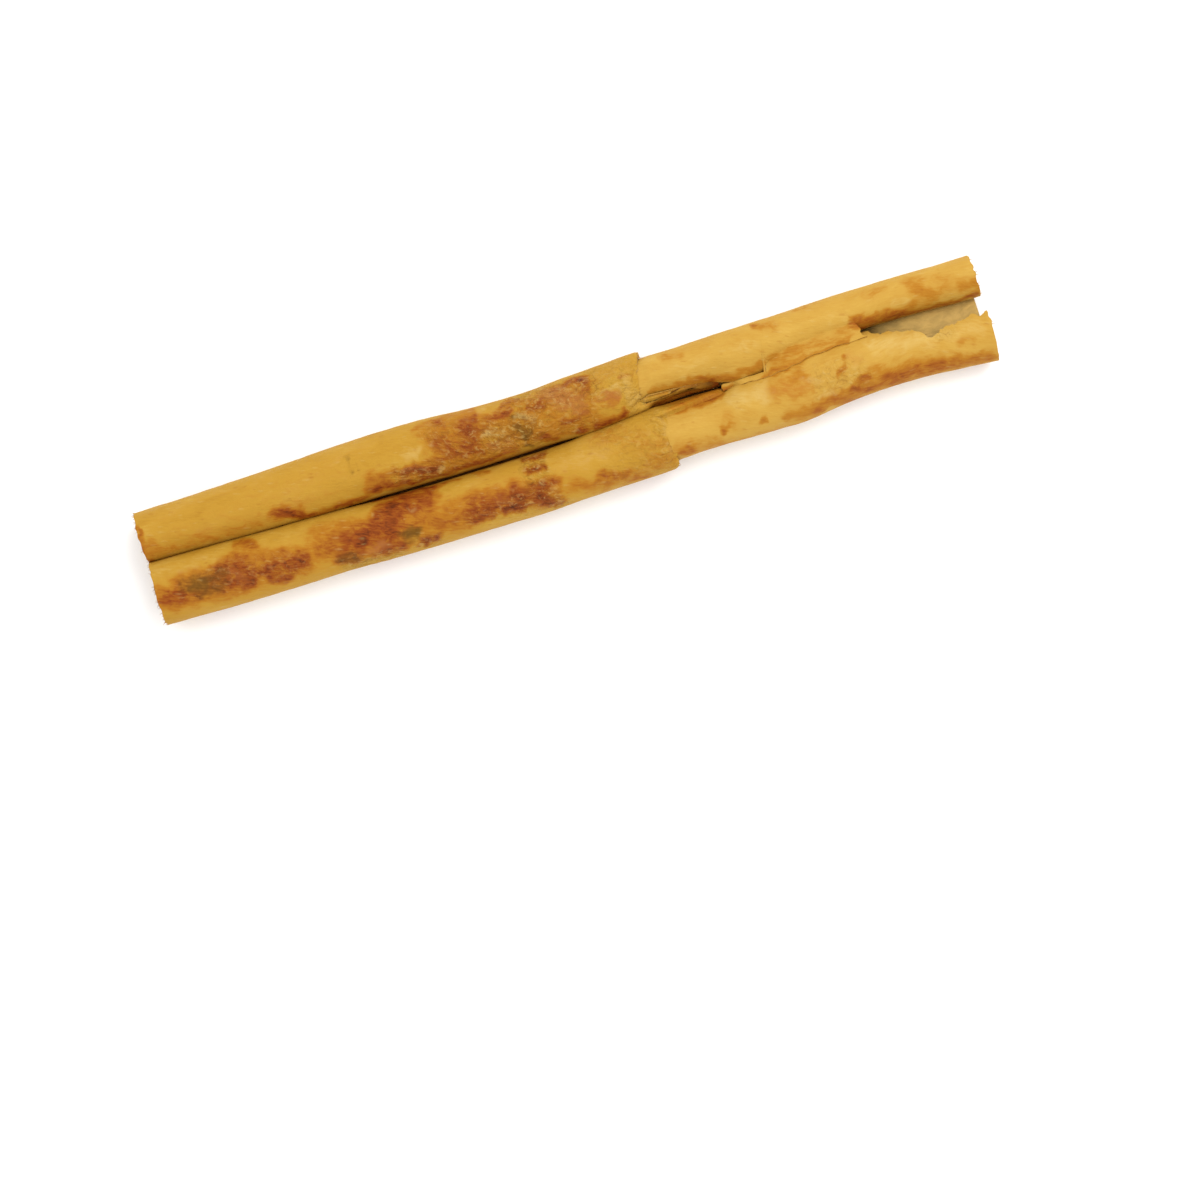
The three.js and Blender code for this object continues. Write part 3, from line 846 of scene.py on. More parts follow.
sleeveStrokes = {
    "stainAndShade": [
        (-63.2, 3.4, -61.8, 3.2, 0.6, 0.3), (-62.5, 2.2, -46, 1.6, 0.7, 0.25),
        (-43.2, 2.3, -39.6, 1.3, 0.75, 0.95), (-41, 1.5, -38.8, 0.9, 0.4, 0.8),
        (-38.5, 0.9, -30, 0.8, 0.55, 0.6), (-33.6, 0.8, -31, 0.9, 0.4, 0.7),
        (-28.9, 2.7, -27.4, 1.8, 0.8, 0.55), (-28.6, 1.4, -24, 0.9, 0.7, 0.95),
        (-27.5, 2.9, -22, 2.5, 0.5, 0.45), (-23.6, 2.3, -19.8, 2, 0.9, 0.8),
        (-21.2, 1.8, -20.4, 1.6, 0.5, 0.5), (-24, 0.7, -8, 0.7, 0.55, 0.8),
        (-17.7, 7.4, -17, 7.2, 0.5, 0.65), (-20.5, 7.9, -13, 7.8, 0.5, 0.35),
        (-18.6, 4.8, -17, 5, 0.6, 0.5), (-18, 3.2, -14.5, 2.4, 0.9, 0.55),
        (-16.5, 4.5, 3, 4.6, 3, 0.42), (-21, 1.9, 6, 1.9, 1.3, 0.25),
        (-61, -5.2, -42.5, -5.9, 2.1, 0.4), (-38, -5.2, -18, -6.2, 2.6, 0.32),
        (-62, 2.6, -30, 2, 1.2, 0.12), (-13.8, 5.7, -12.9, 2.4, 0.8, 0.7),
        (-13.4, 6.4, -11.8, 6.5, 0.45, 0.6), (-12.3, 8, -12, 7, 0.35, 0.45),
        (-9.6, 5.9, -7.5, 6, 0.35, 0.6), (-7.5, 6, -6.9, 7.3, 0.35, 0.45),
        (-6.4, 7.6, -5.6, 7.2, 0.7, 0.45), (-4, 5.9, -2, 5.5, 0.45, 0.65),
        (-3.9, 8.1, -2.9, 8, 0.35, 0.6), (-3.4, 1.4, -2.2, 0.8, 0.5, 0.75),
        (0.6, 7.2, 2.2, 7.2, 0.45, 0.6), (2.4, 7.7, 4.3, 7.1, 0.45, 0.7),
        (4.3, 7.1, 4.8, 5.6, 0.4, 0.7), (0.4, 2.6, 2.3, 2.2, 0.3, 0.7),
        (3.1, 3, 3.6, 2.9, 0.35, 0.5), (2, 1.1, 2.8, 0.8, 0.3, 0.8),
        (4.6, 0.9, 8.4, 1.2, 0.6, 0.9), (7, 3.6, 7.9, 3.2, 0.4, 0.5),
        (9.4, 5.8, 11.8, 5.8, 0.15, 0.35), (-63.4, -4.4, -62.2, -4.4, 0.9, 0.75),
        (-61.6, -4.5, -57.2, -5.3, 0.3, 0.6), (-61, -5.2, -50, -6.2, 0.9, 0.55),
        (-59.5, -3.4, -53, -4.4, 1.3, 0.45), (-52.6, -3.5, -50, -4.7, 1.2, 0.75),
        (-52.5, -5.7, -49.8, -6.1, 0.6, 0.7), (-50.3, -2.3, -49.2, -2.5, 0.35, 0.6),
        (-49.7, -0.8, -48, -1.5, 0.7, 0.65), (-50.5, -3.7, -45.5, -4.3, 1.6, 0.42),
        (-49.1, -5.2, -46.8, -5.7, 0.35, 0.85), (-45.8, -5.2, -43.6, -5.9, 0.9, 0.75),
        (-43.3, -5.1, -42.2, -5.9, 0.65, 1), (-46.6, -6.9, -44.4, -7.2, 0.5, 0.65),
        (-45, -4.1, -41.5, -4.4, 0.6, 0.45), (-41.5, -4.6, -41.5, -6.5, 0.6, 0.4),
        (-38, -3, -33, -4.2, 1.8, 0.34), (-38.6, -4.8, -36.4, -5.8, 1.1, 0.5),
        (-35.6, -5.8, -35.2, -5.9, 0.5, 0.7), (-36.2, -6.8, -33.8, -7.2, 0.7, 0.8),
        (-32.4, -5, -27.2, -4.4, 1.9, 0.88), (-28.6, -2.2, -25.4, -1.5, 1.2, 0.85),
        (-27.4, -2.8, -22.8, -2.9, 1.3, 0.75), (-23.4, -1.2, -21.2, -2, 0.8, 0.9),
        (-29.5, -0.6, -20.5, -1.1, 0.4, 0.9), (-28.2, -5.6, -26.9, -6, 0.5, 0.95),
        (-30.8, -7.2, -27.5, -7.6, 0.8, 0.8), (-24, -7.8, -22.2, -7.9, 0.6, 1),
        (-24.5, -5, -17, -6.4, 1.7, 0.42), (-20.4, -1, -17.6, -1.3, 0.5, 0.6),
        (-14.6, -1.1, -12.4, -1.4, 0.35, 0.55), (-15.6, -5.6, -10, -5.9, 1.4, 0.82),
        (-13.9, -6.3, -12.4, -6.4, 0.5, 0.7), (-11.6, -7.2, -9.9, -7.4, 0.4, 1),
        (-15.7, -7.1, -14.7, -7.2, 0.5, 0.95), (-8.7, -6.4, -7.5, -6.5, 0.9, 0.75),
        (-7, -1.2, -4.2, -1.3, 0.5, 0.75), (-6.1, -2.8, -4.7, -3, 0.4, 0.95),
        (-5.6, -5.6, -4, -5.2, 0.5, 0.85), (-7.4, -7.4, -4.2, -8, 0.9, 0.7),
        (-6.2, -6.9, -5.2, -7.6, 0.5, 0.7), (-9.5, -5.5, -4, -6.5, 1.3, 0.45),
        (-1, -7, 3.4, -7.7, 0.9, 0.4), (3.2, -6.6, 6.4, -7.2, 0.5, 0.6),
        (7, -8.2, 9.2, -8.3, 0.4, 0.5), (5, -1.5, 12, -5.5, 2.5, 0.2),
        (4, -7.6, 13, -7.4, 1.6, 0.22), (6, 7.4, 12, 7.2, 1.2, 0.14),
        (-58, 5, -30, 5.5, 2.4, 0.1), (14, 1.5, 23, 1.3, 0.8, 0.5),
        # of the next two strokes, the first is painted shade, a dark line in the crevice above the far
        # tongue; the second browns the near tongue, partly stain and partly painted shade
        (12.8, 2.3, 19, 2, 0.4, 0.5), (15.5, -0.4, 22.5, -0.2, 0.45, 0.6),
        (22.4, 1.1, 24, 0.9, 0.5, 0.9), (22.4, -0.4, 24, -0.2, 0.4, 0.7),
        (-63.4, 5.8, -63.3, 1.6, 0.3, 0.6), (-20, 6.5, -12, 5.5, 1.6, 0.2),
        (-12, -2.5, 0, -6, 2.4, 0.12),
    ],
    "olive": [
        (-58.6, -3.8, -53.4, -4.3, 1.1, 0.6), (-57.4, -4.1, -55.8, -4.7, 0.6, 0.8),
        (-57.6, -5.7, -53.8, -5.9, 0.6, 0.6), (-41.6, 3.9, -41.2, 3.8, 0.4, 0.4),
        (-31.5, 6.9, -31.4, 4.5, 0.22, 0.55), (-30.2, 6, -30, 4.8, 0.18, 0.4),
        (-33.1, 3.5, -32.8, 3.3, 0.35, 0.35), (-36, -6.8, -33.6, -7.2, 0.7, 0.7),
        (-26.7, -6.3, -24.8, -6.5, 0.9, 0.9), (-9.6, 3.6, -4.6, 3.2, 1.9, 0.45),
        (-5.9, 2.2, -5.6, 2, 0.45, 0.95), (-6.9, 3.4, -6.4, 3, 0.25, 0.7),
        (-6.4, 5.4, -5.2, 4.8, 0.35, 0.6), (-6.5, 0.8, -5.4, 0.7, 0.3, 0.8),
        (13.5, 1.5, 22, 1.2, 0.5, 0.8),
    ],
    "rosy": [
        (-31.9, -6.8, -30.2, -6.9, 0.6, 0.85), (-10.6, 2.1, -8.4, 2, 0.8, 0.7),
        (0.4, 6.4, 2.9, 4.5, 1.7, 0.85), (6.6, 3.9, 8.3, 3.5, 0.8, 0.75),
        (-12.2, -5.7, -10.2, -6.3, 0.8, 0.5), (-23.8, 2.5, -21.5, 2.6, 0.7, 0.5),
        (-52, -4.3, -50.8, -5.2, 0.8, 0.5), (-9.2, 0.8, -7.4, 0.6, 0.35, 0.5),
        (-3.2, 7.4, -1.5, 6.6, 1, 0.5),
    ],
    "cream": [
        (-19.1, 1.6, -18.5, 1.3, 0.35, 0.7), (-11.8, 3.9, -10.2, 3.6, 0.35, 0.9),
        (-10.9, 7.4, -9.9, 7.4, 0.8, 0.5), (-5.3, 5, -4, 4.3, 0.6, 0.7),
        (-9, 3.8, -8.3, 3.6, 0.6, 0.5), (-23.2, 4.7, -21.6, 4.6, 0.7, 0.6),
        (-24.9, -3.4, -24.5, -3.7, 0.25, 0.5), (-30.3, -2.5, -30.1, -2.6, 0.3, 0.6),
        (-1.6, -3.6, 3.6, -3.5, 2.3, 0.4), (10.2, 5.2, 11, 1.6, 1.1, 0.55),
        (5.8, 4.7, 8.4, 4.8, 0.15, 0.6), (8.4, 4.8, 8.9, 4.1, 0.15, 0.5),
        (12.9, -0.4, 13.9, -3, 0.7, 0.5), (13.6, -3, 13.9, -6.2, 0.6, 0.4),
        (-62.5, -1.2, -53.5, -1.6, 1, 0.4),
    ],
    "crust": [
        (-36, -7.9, -28.8, -8.3, 1, 1), (-7.2, -1.3, -4.2, -1.4, 0.7, 0.9),
        (-6.2, -2.6, -4.4, -3.2, 0.8, 0.9), (-6, -5.2, -4, -8.4, 1.3, 0.9),
        (-9.6, -6.2, -7, -8, 1.2, 0.6), (-9.8, 3.2, -4.4, 3, 2.3, 0.9),
        (-18, 2, -10, 2, 1.6, 0.5), (-17.8, 6, -12, 4, 2, 0.55),
        (-5, 7, 4.6, 5.4, 2.4, 0.75), (0, 2, 4, 1.4, 1, 0.7),
        (9.6, 5, 11.2, 1.6, 1.5, 0.5), (12.4, -0.6, 13.9, -6.6, 1, 0.4),
        (5.5, -2, 12.5, -5.5, 2.4, 0.32), (4, -7, 12.5, -7.6, 1.4, 0.3),
        (5.5, 6.8, 12, 7.2, 1.4, 0.32), (-16, -6.5, -9.5, -7.6, 1.3, 0.5),
        (-24.5, -7.9, -22, -8.2, 0.8, 0.8), (-53, -4, -43, -6, 1.6, 0.35),
        (-24.5, 2.2, -19.5, 1.4, 1.2, 0.7),
    ],
}
coreStrokes = {
    "stainAndShade": [
        # the strokes along the far roll's flank by the tongues and the seam (y 1.9 to 3.7) and along the
        # near roll's flank beside the near tongue (y -0.8 to -1.3) are partly stain and partly painted
        # shade where the flanks turn down
        (17, 6.8, 19.2, 6.7, 0.8, 0.35), (13.6, 3, 22.5, 2.3, 0.6, 0.55),
        (22, 2.2, 30, 1.9, 0.55, 0.5), (14.6, -0.9, 23.6, -0.8, 0.5, 0.75),
        (15.4, -1.3, 22.6, -1.2, 0.4, 0.7), (23.4, 0.4, 24.3, 0.3, 0.4, 0.8),
        (31.2, 7, 33.4, 6.7, 0.9, 0.3), (30.7, 7.5, 31, 7.5, 0.35, 0.8),
        (44.2, 3.7, 49.4, 3.3, 0.6, 0.6), (45, 3.3, 53, 3, 0.9, 0.55),
        (49.4, 3.3, 52, 3, 0.4, 0.5), (32, 2.2, 43, 2.6, 0.9, 0.28),
        (45, 2.6, 62.6, 2.3, 0.4, 0.75), (55, 4.9, 58.5, 4.9, 1.6, 0.3),
        (61.5, 4, 63.2, 3.8, 0.9, 0.45), (47, 7, 49.5, 6.8, 0.8, 0.25),
        (54, 6.6, 55.5, 3.5, 1.2, 0.22), (37, 7.8, 38.6, 7.7, 0.5, 0.3),
        (30, -0.1, 35.4, 0.4, 0.35, 0.5), (36.2, 0.8, 43, 1.3, 0.22, 0.5),
        (32.5, 1.6, 35.6, 1.8, 0.9, 0.25), (33.5, -1.2, 34.4, -1.3, 0.6, 0.35),
        (43.6, 3.5, 44.7, 3.1, 0.3, 0.5), (15.8, -6.6, 16.8, -6.6, 0.5, 0.75),
        (22.2, -5.6, 22.5, -5.8, 0.32, 0.8), (22.2, -3.9, 22.9, -5, 0.7, 0.25),
        # the wide washes along the near side (y -5.4 to -7.3) make the core darker towards its near side
        (27.4, -5.8, 28.1, -5.9, 0.3, 0.45), (14.5, -7, 36, -7.3, 0.9, 0.26),
        (40, -6.4, 62.5, -7, 1.3, 0.36), (45, -5.4, 56, -5.8, 1.5, 0.32),
        (30, -1.2, 45, -5, 2.4, 0.12), (31, -2.6, 34.3, -3.2, 1.3, 0.25),
        (31.5, -6.4, 36, -6.7, 0.8, 0.5), (36, -6.1, 39.2, -5.8, 0.7, 0.55),
        (41.3, -5.5, 43.4, -5.9, 0.7, 0.9), (40.2, -6.6, 42, -6.7, 0.5, 0.6),
        (40.9, -0.9, 41.3, -1, 0.35, 0.55), (39.9, -2.7, 40.2, -2.7, 0.3, 0.5),
        (40.8, -2.4, 41, -2.6, 0.3, 0.5), (42.8, -4.4, 43.1, -4.4, 0.4, 0.8),
        (44, -4.8, 54, -5.3, 0.9, 0.36), (51, -4.6, 54.5, -5.3, 0.8, 0.4),
        (46, -5.7, 61, -6.5, 1, 0.5), (14.9, -5.5, 21, -6.6, 0.8, 0.22),
        (58.7, -3.4, 59.3, -3.6, 0.5, 0.3),
    ],
    "olive": [
        (37.2, -3.6, 38.6, -4.2, 0.8, 0.3), (34, 4.6, 34.6, 4.2, 0.5, 0.25),
    ],
    "rosy": [
        (31.4, -2.6, 34.3, -3, 1.2, 0.5), (41.8, -0.8, 43.2, -1.6, 0.8, 0.5),
    ],
    "cream": [
        # the first cream stroke is a painted highlight on the lit rim where the flap's crack ends
        (30.2, 1.3, 30.6, 1.4, 0.15, 0.8), (24.5, -1.9, 29.2, -2.2, 1.4, 0.7),
        (35.2, -2.4, 36.1, -2.7, 0.5, 0.6), (46.8, -0.4, 53.8, -1.6, 1.6, 0.6),
        (57, -1.8, 61.5, -2.2, 1.3, 0.5), (26.5, 5, 29.5, 4.8, 1, 0.4),
        (51, 4.8, 52, 4.8, 0.7, 0.5), (37, -4.7, 39, -5.1, 0.3, 0.6),
        (18, 4.9, 22, 4.6, 1.2, 0.35), (40.5, 5.5, 43, 4.5, 1.2, 0.3),
    ],
    "crust": [
        (37, -2.8, 42.5, -3.6, 1.6, 0.6), (55.4, -1.9, 57, -1.6, 0.5, 0.8),
    ],
}


def drift(x, y, size, seed):
    # smooth random numbers from -1 to 1 over a surface
    table = np.random.RandomState(seed).uniform(-1, 1, (512, 512))
    u, v = x / size + 200, y / size + 200
    i, j = np.floor(u).astype(int) % 511, np.floor(v).astype(int) % 511
    s, t = ramp(0, 1, u - np.floor(u)), ramp(0, 1, v - np.floor(v))
    low = table[i, j] * (1 - s) + table[i + 1, j] * s
    high = table[i, j + 1] * (1 - s) + table[i + 1, j + 1] * s
    return low * (1 - t) + high * t


def acrossOf(section, x, y):
    # how far a place seen from above lies from its roll's crown, round the bark, and on which side
    farRoll, nearRoll = section(np.array([float(x)]))
    middle = (farRoll["y"] + nearRoll["y"])[0] / 2
    roll = farRoll if y > middle else nearRoll
    sine = np.clip((y - roll["y"][0]) / roll["halfWide"][0], -1, 1)
    return math.asin(sine) * (roll["halfWide"] + roll["halfHigh"])[0] / 2, roll["side"]


def strokeMask(grid, section, stroke):
    startX, startY, endX, endY, radius, strength = stroke
    if section is None:
        start, end, onSide = startY, endY, True
    else:
        start, side = acrossOf(section, startX, startY)
        end = acrossOf(section, endX, endY)[0]
        onSide = (grid["side"] == side) & (grid["turn"] < 300 * degree) & (grid["turn"] > 40 * degree)
    wayX, wayY = endX - startX, end - start
    gapX, gapY = grid["raggedX"] - startX, grid["raggedAcross"] - start
    t = np.clip((gapX * wayX + gapY * wayY) / (wayX**2 + wayY**2 + 1e-9), 0, 1)
    away = np.hypot(gapX - t * wayX, gapY - t * wayY)
    return np.where(onSide, strength * ramp(radius * 1.85 + 0.35, 0, away), 0)


def paintSeamShade(grid):
    # painted shade: the rolls' seam sides are drawn darker brown as they turn down into the seam
    deep = ramp(243 * degree, 278 * degree, grid["turn"]) * 0.62
    grid["stainAndShade"] = 1 - (1 - grid["stainAndShade"]) * (1 - deep)


def stainUndersides(grid, seed):
    # loose patches of stain round the sides and the underside
    patches = ramp(0.15, 0.75, drift(grid["x"], grid["crownGap"] + grid["side"] * 40, 5.5, seed))
    below = ramp(110 * degree, 70 * degree, grid["turn"])
    grid["stainAndShade"] = np.maximum(grid["stainAndShade"], 0.6 * patches * below)


def paintStrokes(grid, section, strokes):
    x, gap = grid["x"], grid["crownGap"]
    side = grid.get("side", 1) * 40
    grid["raggedX"] = x + 0.75 * drift(x, gap + side, 1.7, 1) + 0.4 * drift(x, gap + side, 0.7, 2)
    grid["raggedAcross"] = gap + 0.45 * drift(x, gap + side, 1.5, 3) + 0.25 * drift(x, gap + side, 0.6, 4)
    for tint, marks in strokes.items():
        clear = np.ones(grid["x"].shape)
        for mark in marks:
            clear = clear * (1 - np.clip(strokeMask(grid, section, mark), 0, 0.99))
        grid[tint] = 1 - clear


# flat sheets, ready to be rolled

seamTurn = 252  # the turn at which a roll faces the seam


def nearSeam(turn, spread):
    return np.exp(-(((turn / degree - seamTurn) / spread) ** 2))


def raggedLeft(x, line, size, slowSize, seed):
    rag = size * (1 + wobble(line, 0.9, seed)) + slowSize * (1 + wobble(line, 4.0, seed + 1))
    return x + rag * np.clip(1 - (x - leftEnd) / 2.5, 0, 1)


def acrossColumns(bands, webColumns):
    # every column's turn in degrees, or its part of the way over the web from 0 to -1, and its side
    turns = [0.0]
    for end, count in bands:
        turns.extend(np.linspace(turns[-1], end, count + 1)[1:])
    one = np.concatenate([-np.linspace(1, 0, webColumns + 1)[:-1], turns])
    column = np.concatenate([one[::-1], one[1:]])
    side = np.concatenate([np.ones(len(one)), -np.ones(len(one) - 1)])
    return column, side


def sheetObject(name, grid, position, holds=None):
    rows, columns = grid["x"].shape
    mesh = bpy.data.meshes.new(name)
    mesh.vertices.add(rows * columns)
    mesh.vertices.foreach_set("co", (position * mm).astype(np.float32).ravel())
    index = np.arange(rows * columns).reshape(rows, columns)
    corners = [index[:-1, :-1], index[1:, :-1], index[1:, 1:], index[:-1, 1:]]
    cells = np.stack(corners, axis=-1)
    loops = cells.reshape(-1, 4) if holds is None else cells[holds]
    mesh.loops.add(loops.size)
    mesh.loops.foreach_set("vertex_index", loops.ravel())
    mesh.polygons.add(len(loops))
    mesh.polygons.foreach_set("loop_start", np.arange(len(loops)) * 4)
    mesh.update(calc_edges=True)
    for key, values in grid.items():
        if key in ("x", "across", "crownGap", "raggedX", "raggedAcross"):
            continue
        attribute = mesh.attributes.new(key, "FLOAT", "POINT")
        values = np.broadcast_to(values, (rows, columns))
        attribute.data.foreach_set("value", values.astype(np.float32).ravel())
    place = np.stack([grid["x"], grid["across"], np.zeros((rows, columns))], axis=-1)
    attribute = mesh.attributes.new("barkPlace", "FLOAT_VECTOR", "POINT")
    attribute.data.foreach_set("vector", place.astype(np.float32).ravel())
    return addToScene(bpy.data.objects.new(name, mesh))


def guideGrid(x, turn, side, section, web):
    # everything that the roll tree and the body tree read, at each point of the sheet
    farRoll, nearRoll = section(x)
    isFar = np.broadcast_to(side > 0, x.shape)
    pick = {key: np.where(isFar, farRoll[key], nearRoll[key]) for key in ("y", "z", "halfWide", "halfHigh")}
    middleY = nearRoll["y"] + (farRoll["y"] - nearRoll["y"]) * along(web, x, 2)
    grid = {
        "x": x,
        "turn": turn,
        "side": np.broadcast_to(side, x.shape).astype(float),
        "rollY": pick["y"] + yShift,
        "rollZ": pick["z"],
        "halfWide": pick["halfWide"],
        "halfHigh": pick["halfHigh"],
        "middleY": middleY + yShift,
        "arch": along(web, x, 1),
        "openShare": np.zeros(x.shape),
    }
    radius = (pick["halfWide"] + pick["halfHigh"]) / 2
    halfWeb = np.abs(pick["y"] - middleY)
    fromMiddle = np.where(turn < 0, halfWeb * (1 + turn), halfWeb + turn * radius)
    grid["across"] = grid["side"] * fromMiddle
    grid["crownGap"] = grid["side"] * (math.pi - turn) * radius
    return grid


def giveBody(piece, bark, outside, name):
    waves, ripples, fibres = bark["relief"]
    body = {
        "Thickness": bark["thickness"] * mm,
        "Wave Depth": waves * mm,
        "Ripple Depth": ripples * mm,
        "Fibre Depth": fibres * mm,
        "Seed": bark["seed"],
        "Outside": outside,
        "Inside": innerBark,
        "Edge": brokenEdge,
    }
    runTree(piece, bodyTree, body)
    return asPlainMesh(piece, name)


def rollUp(name, grid, bark, outside, holds=None):
    flat = np.stack([grid["x"], grid["across"], np.zeros(grid["x"].shape)], axis=-1)
    piece = sheetObject(name + "Sheet", grid, flat, holds)
    runTree(piece, rollTree, {"Tighten": bark["tighten"], "Finish": outside})
    return giveBody(piece, bark, outside, name + "Bark")


def growOn(bark, tree, values, name):
    # only what a tree grows on a bark, as a piece of its own
    carrier = addToScene(bpy.data.objects.new(name + "Carrier", bark.data.copy()))
    runTree(carrier, tree, values)
    return asPlainMesh(carrier, name)


def makeSleeve():
    column, side = acrossColumns(sleeve["columns"], sleeve["webColumns"])
    rowX = np.arange(leftEnd, sleeve["bodyEnd"], sleeve["rows"])
    stretchFrom = sleeve["bodyEnd"] - 3
    line = np.arange(len(column)) * 0.3
    mouth = np.where(side > 0, sleeve["mouthFar"], sleeve["mouthNear"])
    mouth = mouth - np.where(side > 0, ramp(100, 215, column) * 1.4, 0)
    mouth = mouth + 0.22 * wobble(line, 2.4, 4) + 0.2 * wobble(line, 0.7, 5)
    start = np.where(side > 0, sleeve["tongueStart"][0], sleeve["tongueStart"][1])
    inTongue = ramp(-3, 3, column - start)
    tip = sleeve["tongueTip"] + 0.5 * wobble(line, 0.8, 6) - np.where(side > 0, 0.4, 0)
    end = mouth + (tip - mouth) * inTongue
    x = np.repeat(rowX[:, None], len(column), axis=1)
    reach = (x - stretchFrom) / (rowX[-1] - stretchFrom)
    x = np.where(x > stretchFrom, stretchFrom + reach * (end - stretchFrom), x)
    x = raggedLeft(x, line, 0.12, 0.12, 7)
    turn = np.where(column > 0, column * degree, column) * np.ones(x.shape)
    past = ramp(sleeve["bodyEnd"], sleeve["tongueTip"], x)
    full = sleeve["curl"] * degree
    turn = np.where(past > 0, full - (full - turn) * (1 - sleeve["tongueTaper"] * past), turn)
    grid = guideGrid(x, turn, side, sleeveSection, sleeve["web"])
    toMouth = end - x
    # its mouth feathers down on to the core over the crowns, and stays thick at the sides
    overCrown = ramp(105, 140, column) * ramp(262, 240, column)
    feather = ramp(2.0, 0.2, toMouth) * overCrown
    upperEdge = ramp(start + 7, start, column) * ramp(13.5, 15, x)
    grid["thin"] = (0.6 + 0.4 * ramp(0, 0.5, toMouth)) * (1 - 0.45 * upperEdge) * (1 - 0.6 * feather)
    inSeam = np.where(side > 0, ramp(11.8, 13.2, x), ramp(13.5, 15.5, x))
    grid["lining"] = 0.44 * ramp(6.0, 1.0, toMouth) * ramp(20 * degree, 60 * degree, turn)
    beside = ramp(10.0, 12.0, x) * ramp(start - 6, start + 2, column)
    grid["lining"] = grid["lining"] * (1 - beside) * (1 - feather) + np.where(side > 0, 0.1, 0.42) * beside
    # the two rolls press together along the seam, except over a stretch left of the middle
    pressed = np.maximum(ramp(-27, -37, x), ramp(-2, 3, x)) * (1 - inSeam)
    pressed = pressed * nearSeam(turn, 30)
    # the far tongue hugs its roll, and the slit between the tongues closes downwards and at their tips
    toTip = ramp(18, 22.5, x)
    below = ramp(start + 22, start + 40, column)
    apart = np.where(side > 0, 0.3, 0.05) * (1 - toTip) * (1 - below) * ramp(start - 18, start, column)
    inwards = ((0.32 - 0.1 * toTip) * below + 0.1 * toTip - apart) * inSeam - 0.78 * feather
    grid["shift"] = (0.27 + 0.14 * ramp(-2, 4, x)) * pressed + inwards
    grid["rim"] = np.maximum(ramp(0.35, 0.1, x - leftEnd), ramp(0.4, 0.1, toMouth) * 0.7)
    grid["rimWay"] = np.where(x < 0, -1.0, 1.0)
    paintStrokes(grid, sleeveSection, sleeveStrokes)
    stainUndersides(grid, 51)
    paintSeamShade(grid)
    # the tongues are tan, and their flanks get painted shade, dark brown down in the slit
    tongue = inSeam * ramp(start - 4, start, column)
    flankShade = inSeam * ramp(start + 14, start + 22, column)
    grid["stainAndShade"] = np.maximum(grid["stainAndShade"], np.where(side > 0, 0.42, 0.2) * tongue + 0.28 * flankShade)
    return rollUp("sleeve", grid, sleeve, outerBark)


def makeCore():
    column, side = acrossColumns(core["columns"], core["webColumns"])
    hidden = np.arange(leftEnd, core["showsFrom"], core["coarseRows"])
    shownRows = int((rightEnd - core["showsFrom"]) / core["rows"]) + 1
    shown = np.linspace(core["showsFrom"], rightEnd, shownRows)
    atLeft = np.arange(leftEnd, leftEnd + 3, core["rows"])
    rowX = np.concatenate([atLeft, hidden[hidden > leftEnd + 3], shown])
    line = np.arange(len(column)) * 0.35
    x = raggedLeft(np.repeat(rowX[:, None], len(column), axis=1), line, 0.15, 0.1, 17)
    rightRag = 0.14 * (1 + wobble(line, 0.8, 19)) + 0.14 * (1 + wobble(line, 4.0, 20))
    rightRag = rightRag + core["webCut"] * ramp(15, -0.2, column)
    x = x - rightRag * np.clip(1 - (rightEnd - x) / 4.0, 0, 1)
    torn = along(core["torn"], x, 1) + 7 * wobble(x, 0.9, 21) + 4 * wobble(x, 0.35, 22)
    tornFrom = core["tornFrom"]
    full = float(core["curl"])
    tornCurl = full + (torn - full) * ramp(tornFrom, tornFrom + 1.5, x)
    curl = np.where((side < 0) & (x > tornFrom), tornCurl, full)
    last = np.minimum(np.broadcast_to(column, x.shape), curl)
    turn = np.where(last > 0, last * degree, last)
    gone = last[:, 1:] + last[:, :-1] >= curl[:, 1:] + curl[:, :-1] - 1e-6
    holds = ~(gone[1:] & gone[:-1])
    grid = guideGrid(x, turn, side, coreSection, core["web"])
    fromEdge = (curl * degree - turn) * (grid["halfWide"] + grid["halfHigh"]) / 2
    isTorn = (grid["side"] < 0) & (x > tornFrom + 0.5)
    grid["thin"] = np.where(isTorn, 0.45 + 0.55 * ramp(0, 1.3, fromEdge), 1.0)
    grid["openShare"] = ramp(tornFrom - 3, tornFrom + 1, x) * ramp(60 * degree, 20 * degree, turn)
    # the bark bulges towards the tongues that run between its rolls
    besideTongue = ramp(10.5, 12.5, x) * ramp(24.0, 22.0, x) * np.where(side > 0, 0.3, 0.4)
    besideStrip = np.where(side > 0, 0.62 * ramp(31.5, 30.0, x), 0.4 * ramp(27.0, 25.0, x))
    besideStrip = besideStrip * ramp(22.0, 24.0, x)
    grid["shift"] = (besideTongue + besideStrip) * nearSeam(turn, 24)
    # where the web lies open it swells up between the rolls
    fromRidge = ramp(-1.0, np.where(side > 0, -0.5, -0.8), column)
    grid["lining"] = np.where(side > 0, 1.2, 0.8) * fromRidge * ramp(50, -0.2, column)
    grid["lining"] = grid["lining"] * ramp(tornFrom + 0.5, tornFrom + 3, x)
    grid["rim"] = np.maximum(ramp(0.35, 0.1, x - leftEnd), ramp(0.4, 0.1, rightEnd - x))
    grid["rim"] = np.maximum(grid["rim"], np.where(isTorn, ramp(0.3, 0.1, fromEdge) * 0.4, 0))
    grid["rimWay"] = np.where(x < 0, -1.0, 1.0)
    paintStrokes(grid, coreSection, coreStrokes)
    stainUndersides(grid, 52)
    paintSeamShade(grid)
    return rollUp("core", grid, core, coreOuter, holds)


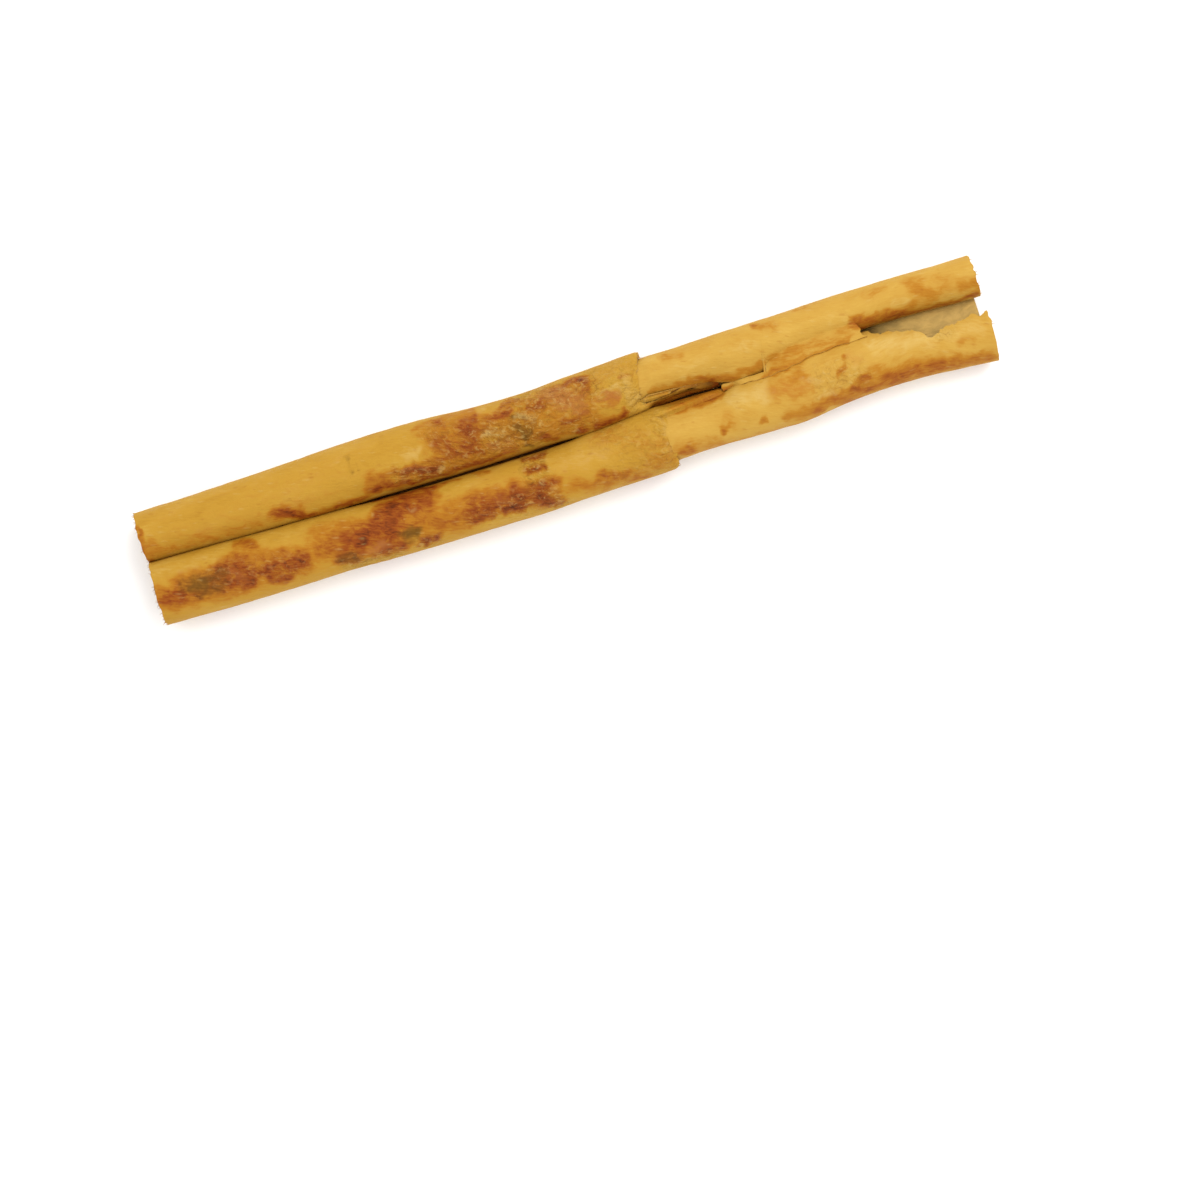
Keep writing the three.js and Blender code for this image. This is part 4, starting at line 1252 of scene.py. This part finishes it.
def makeFlap():
    rows, columns = flap["rows"], flap["columns"]
    hugs = flap["hugs"]
    left, right = flap["path"][0][0], flap["path"][-1][0]
    x = np.repeat(np.linspace(left, right, rows)[:, None], columns, axis=1)
    firstShare = flap["strip"] * (1 - ramp(flap["crackEnd"] - 0.4, flap["crackEnd"] + 0.2, x))
    share = firstShare + (1 - firstShare) * np.linspace(0, 1, columns)[None, :]
    x = x - flap["slant"] * (1 - share) * ramp(right - 6, right, x)
    x = x + 0.25 * wobble(share * 9, 0.7, 31) * ramp(right - 4, right, x)
    x = x + 0.3 * wobble(share * 9, 0.5, 32) * ramp(left + 2, left, x)
    farRoll, nearRoll = coreSection(x)
    part = np.minimum(share / hugs, 1)
    turn = (flap["start"] + (along(flap["path"], x, 1) - flap["start"]) * part) * degree
    clear = core["thickness"] / 2 + 0.08  # its edge lies right on the near roll
    y, z = onRoll(farRoll, core, turn, flap["flush"])
    beforeY, beforeZ = onRoll(farRoll, core, turn - 4 * degree, flap["flush"])
    edgeY = along(flap["path"], x, 2) + 0.12 * wobble(x, 1.1, 33)
    edgeZ = onRoll(nearRoll, core, turnOver(nearRoll, core, edgeY, clear), clear)[1]
    t = np.clip((share - hugs) / (1 - hugs), 0, 1)
    pull = np.hypot(edgeY - y, edgeZ - z) / np.hypot(y - beforeY, z - beforeZ)
    bend = t * (1 - t) ** 2 * pull
    ease = t * t * (3 - 2 * t)
    y = y + (edgeY - y) * ease + (y - beforeY) * bend
    z = z + (edgeZ - z) * ease + (z - beforeZ) * bend
    middleY = (farRoll["y"] + nearRoll["y"]) / 2
    radius = (farRoll["halfWide"] + farRoll["halfHigh"]) / 2
    reached = np.hypot(edgeY - y, edgeZ - z)
    across = np.abs(farRoll["y"] - middleY) + turn * radius + t * reached[:, :1]
    grid = dict.fromkeys(("openShare", "shift", "lining"), np.zeros(x.shape))
    grid["x"], grid["across"], grid["crownGap"] = x, across, y
    bothEdges = ramp(0, 0.3, 1 - share) * ramp(0, 0.12, share - firstShare + 0.02)
    grid["thin"] = 0.4 + 0.6 * bothEdges
    paintStrokes(grid, None, coreStrokes)
    position = np.stack([x, y + yShift, z], axis=-1)[:, ::-1]
    grid = {key: values[:, ::-1] for key, values in grid.items()}
    return giveBody(sheetObject("flapSheet", grid, position), flap, coreOuter, "coreFlap")


sleevePiece = makeSleeve()
print("sleeve made:", len(sleevePiece.data.polygons), "faces")
corePiece = makeCore()
print("core made:", len(corePiece.data.polygons), "faces")
flapPiece = makeFlap()
print("flap made:", len(flapPiece.data.polygons), "faces")

fringe = {"Shortest": 0.15 * mm, "Longest": 0.6 * mm, "Finish": fibreFinish}
sleeveFringe = growOn(sleevePiece, fringeTree, {**fringe, "Seed": 5}, "sleeveFringe")
coreFringe = growOn(corePiece, fringeTree, {**fringe, "Seed": 9}, "coreFringe")
for piece in (sleeveFringe, coreFringe):
    print(piece.name, "made:", len(piece.data.polygons), "faces")

for piece, node, slot in (
    (sleevePiece, "sleeve_bark", "outer_bark"),
    (sleeveFringe, "sleeve_bark", "outer_bark"),
    (corePiece, "core_bark", "inner_bark"),
    (flapPiece, "core_bark", "inner_bark"),
    (coreFringe, "core_bark", "inner_bark"),
):
    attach(piece, "root")
    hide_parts(node)
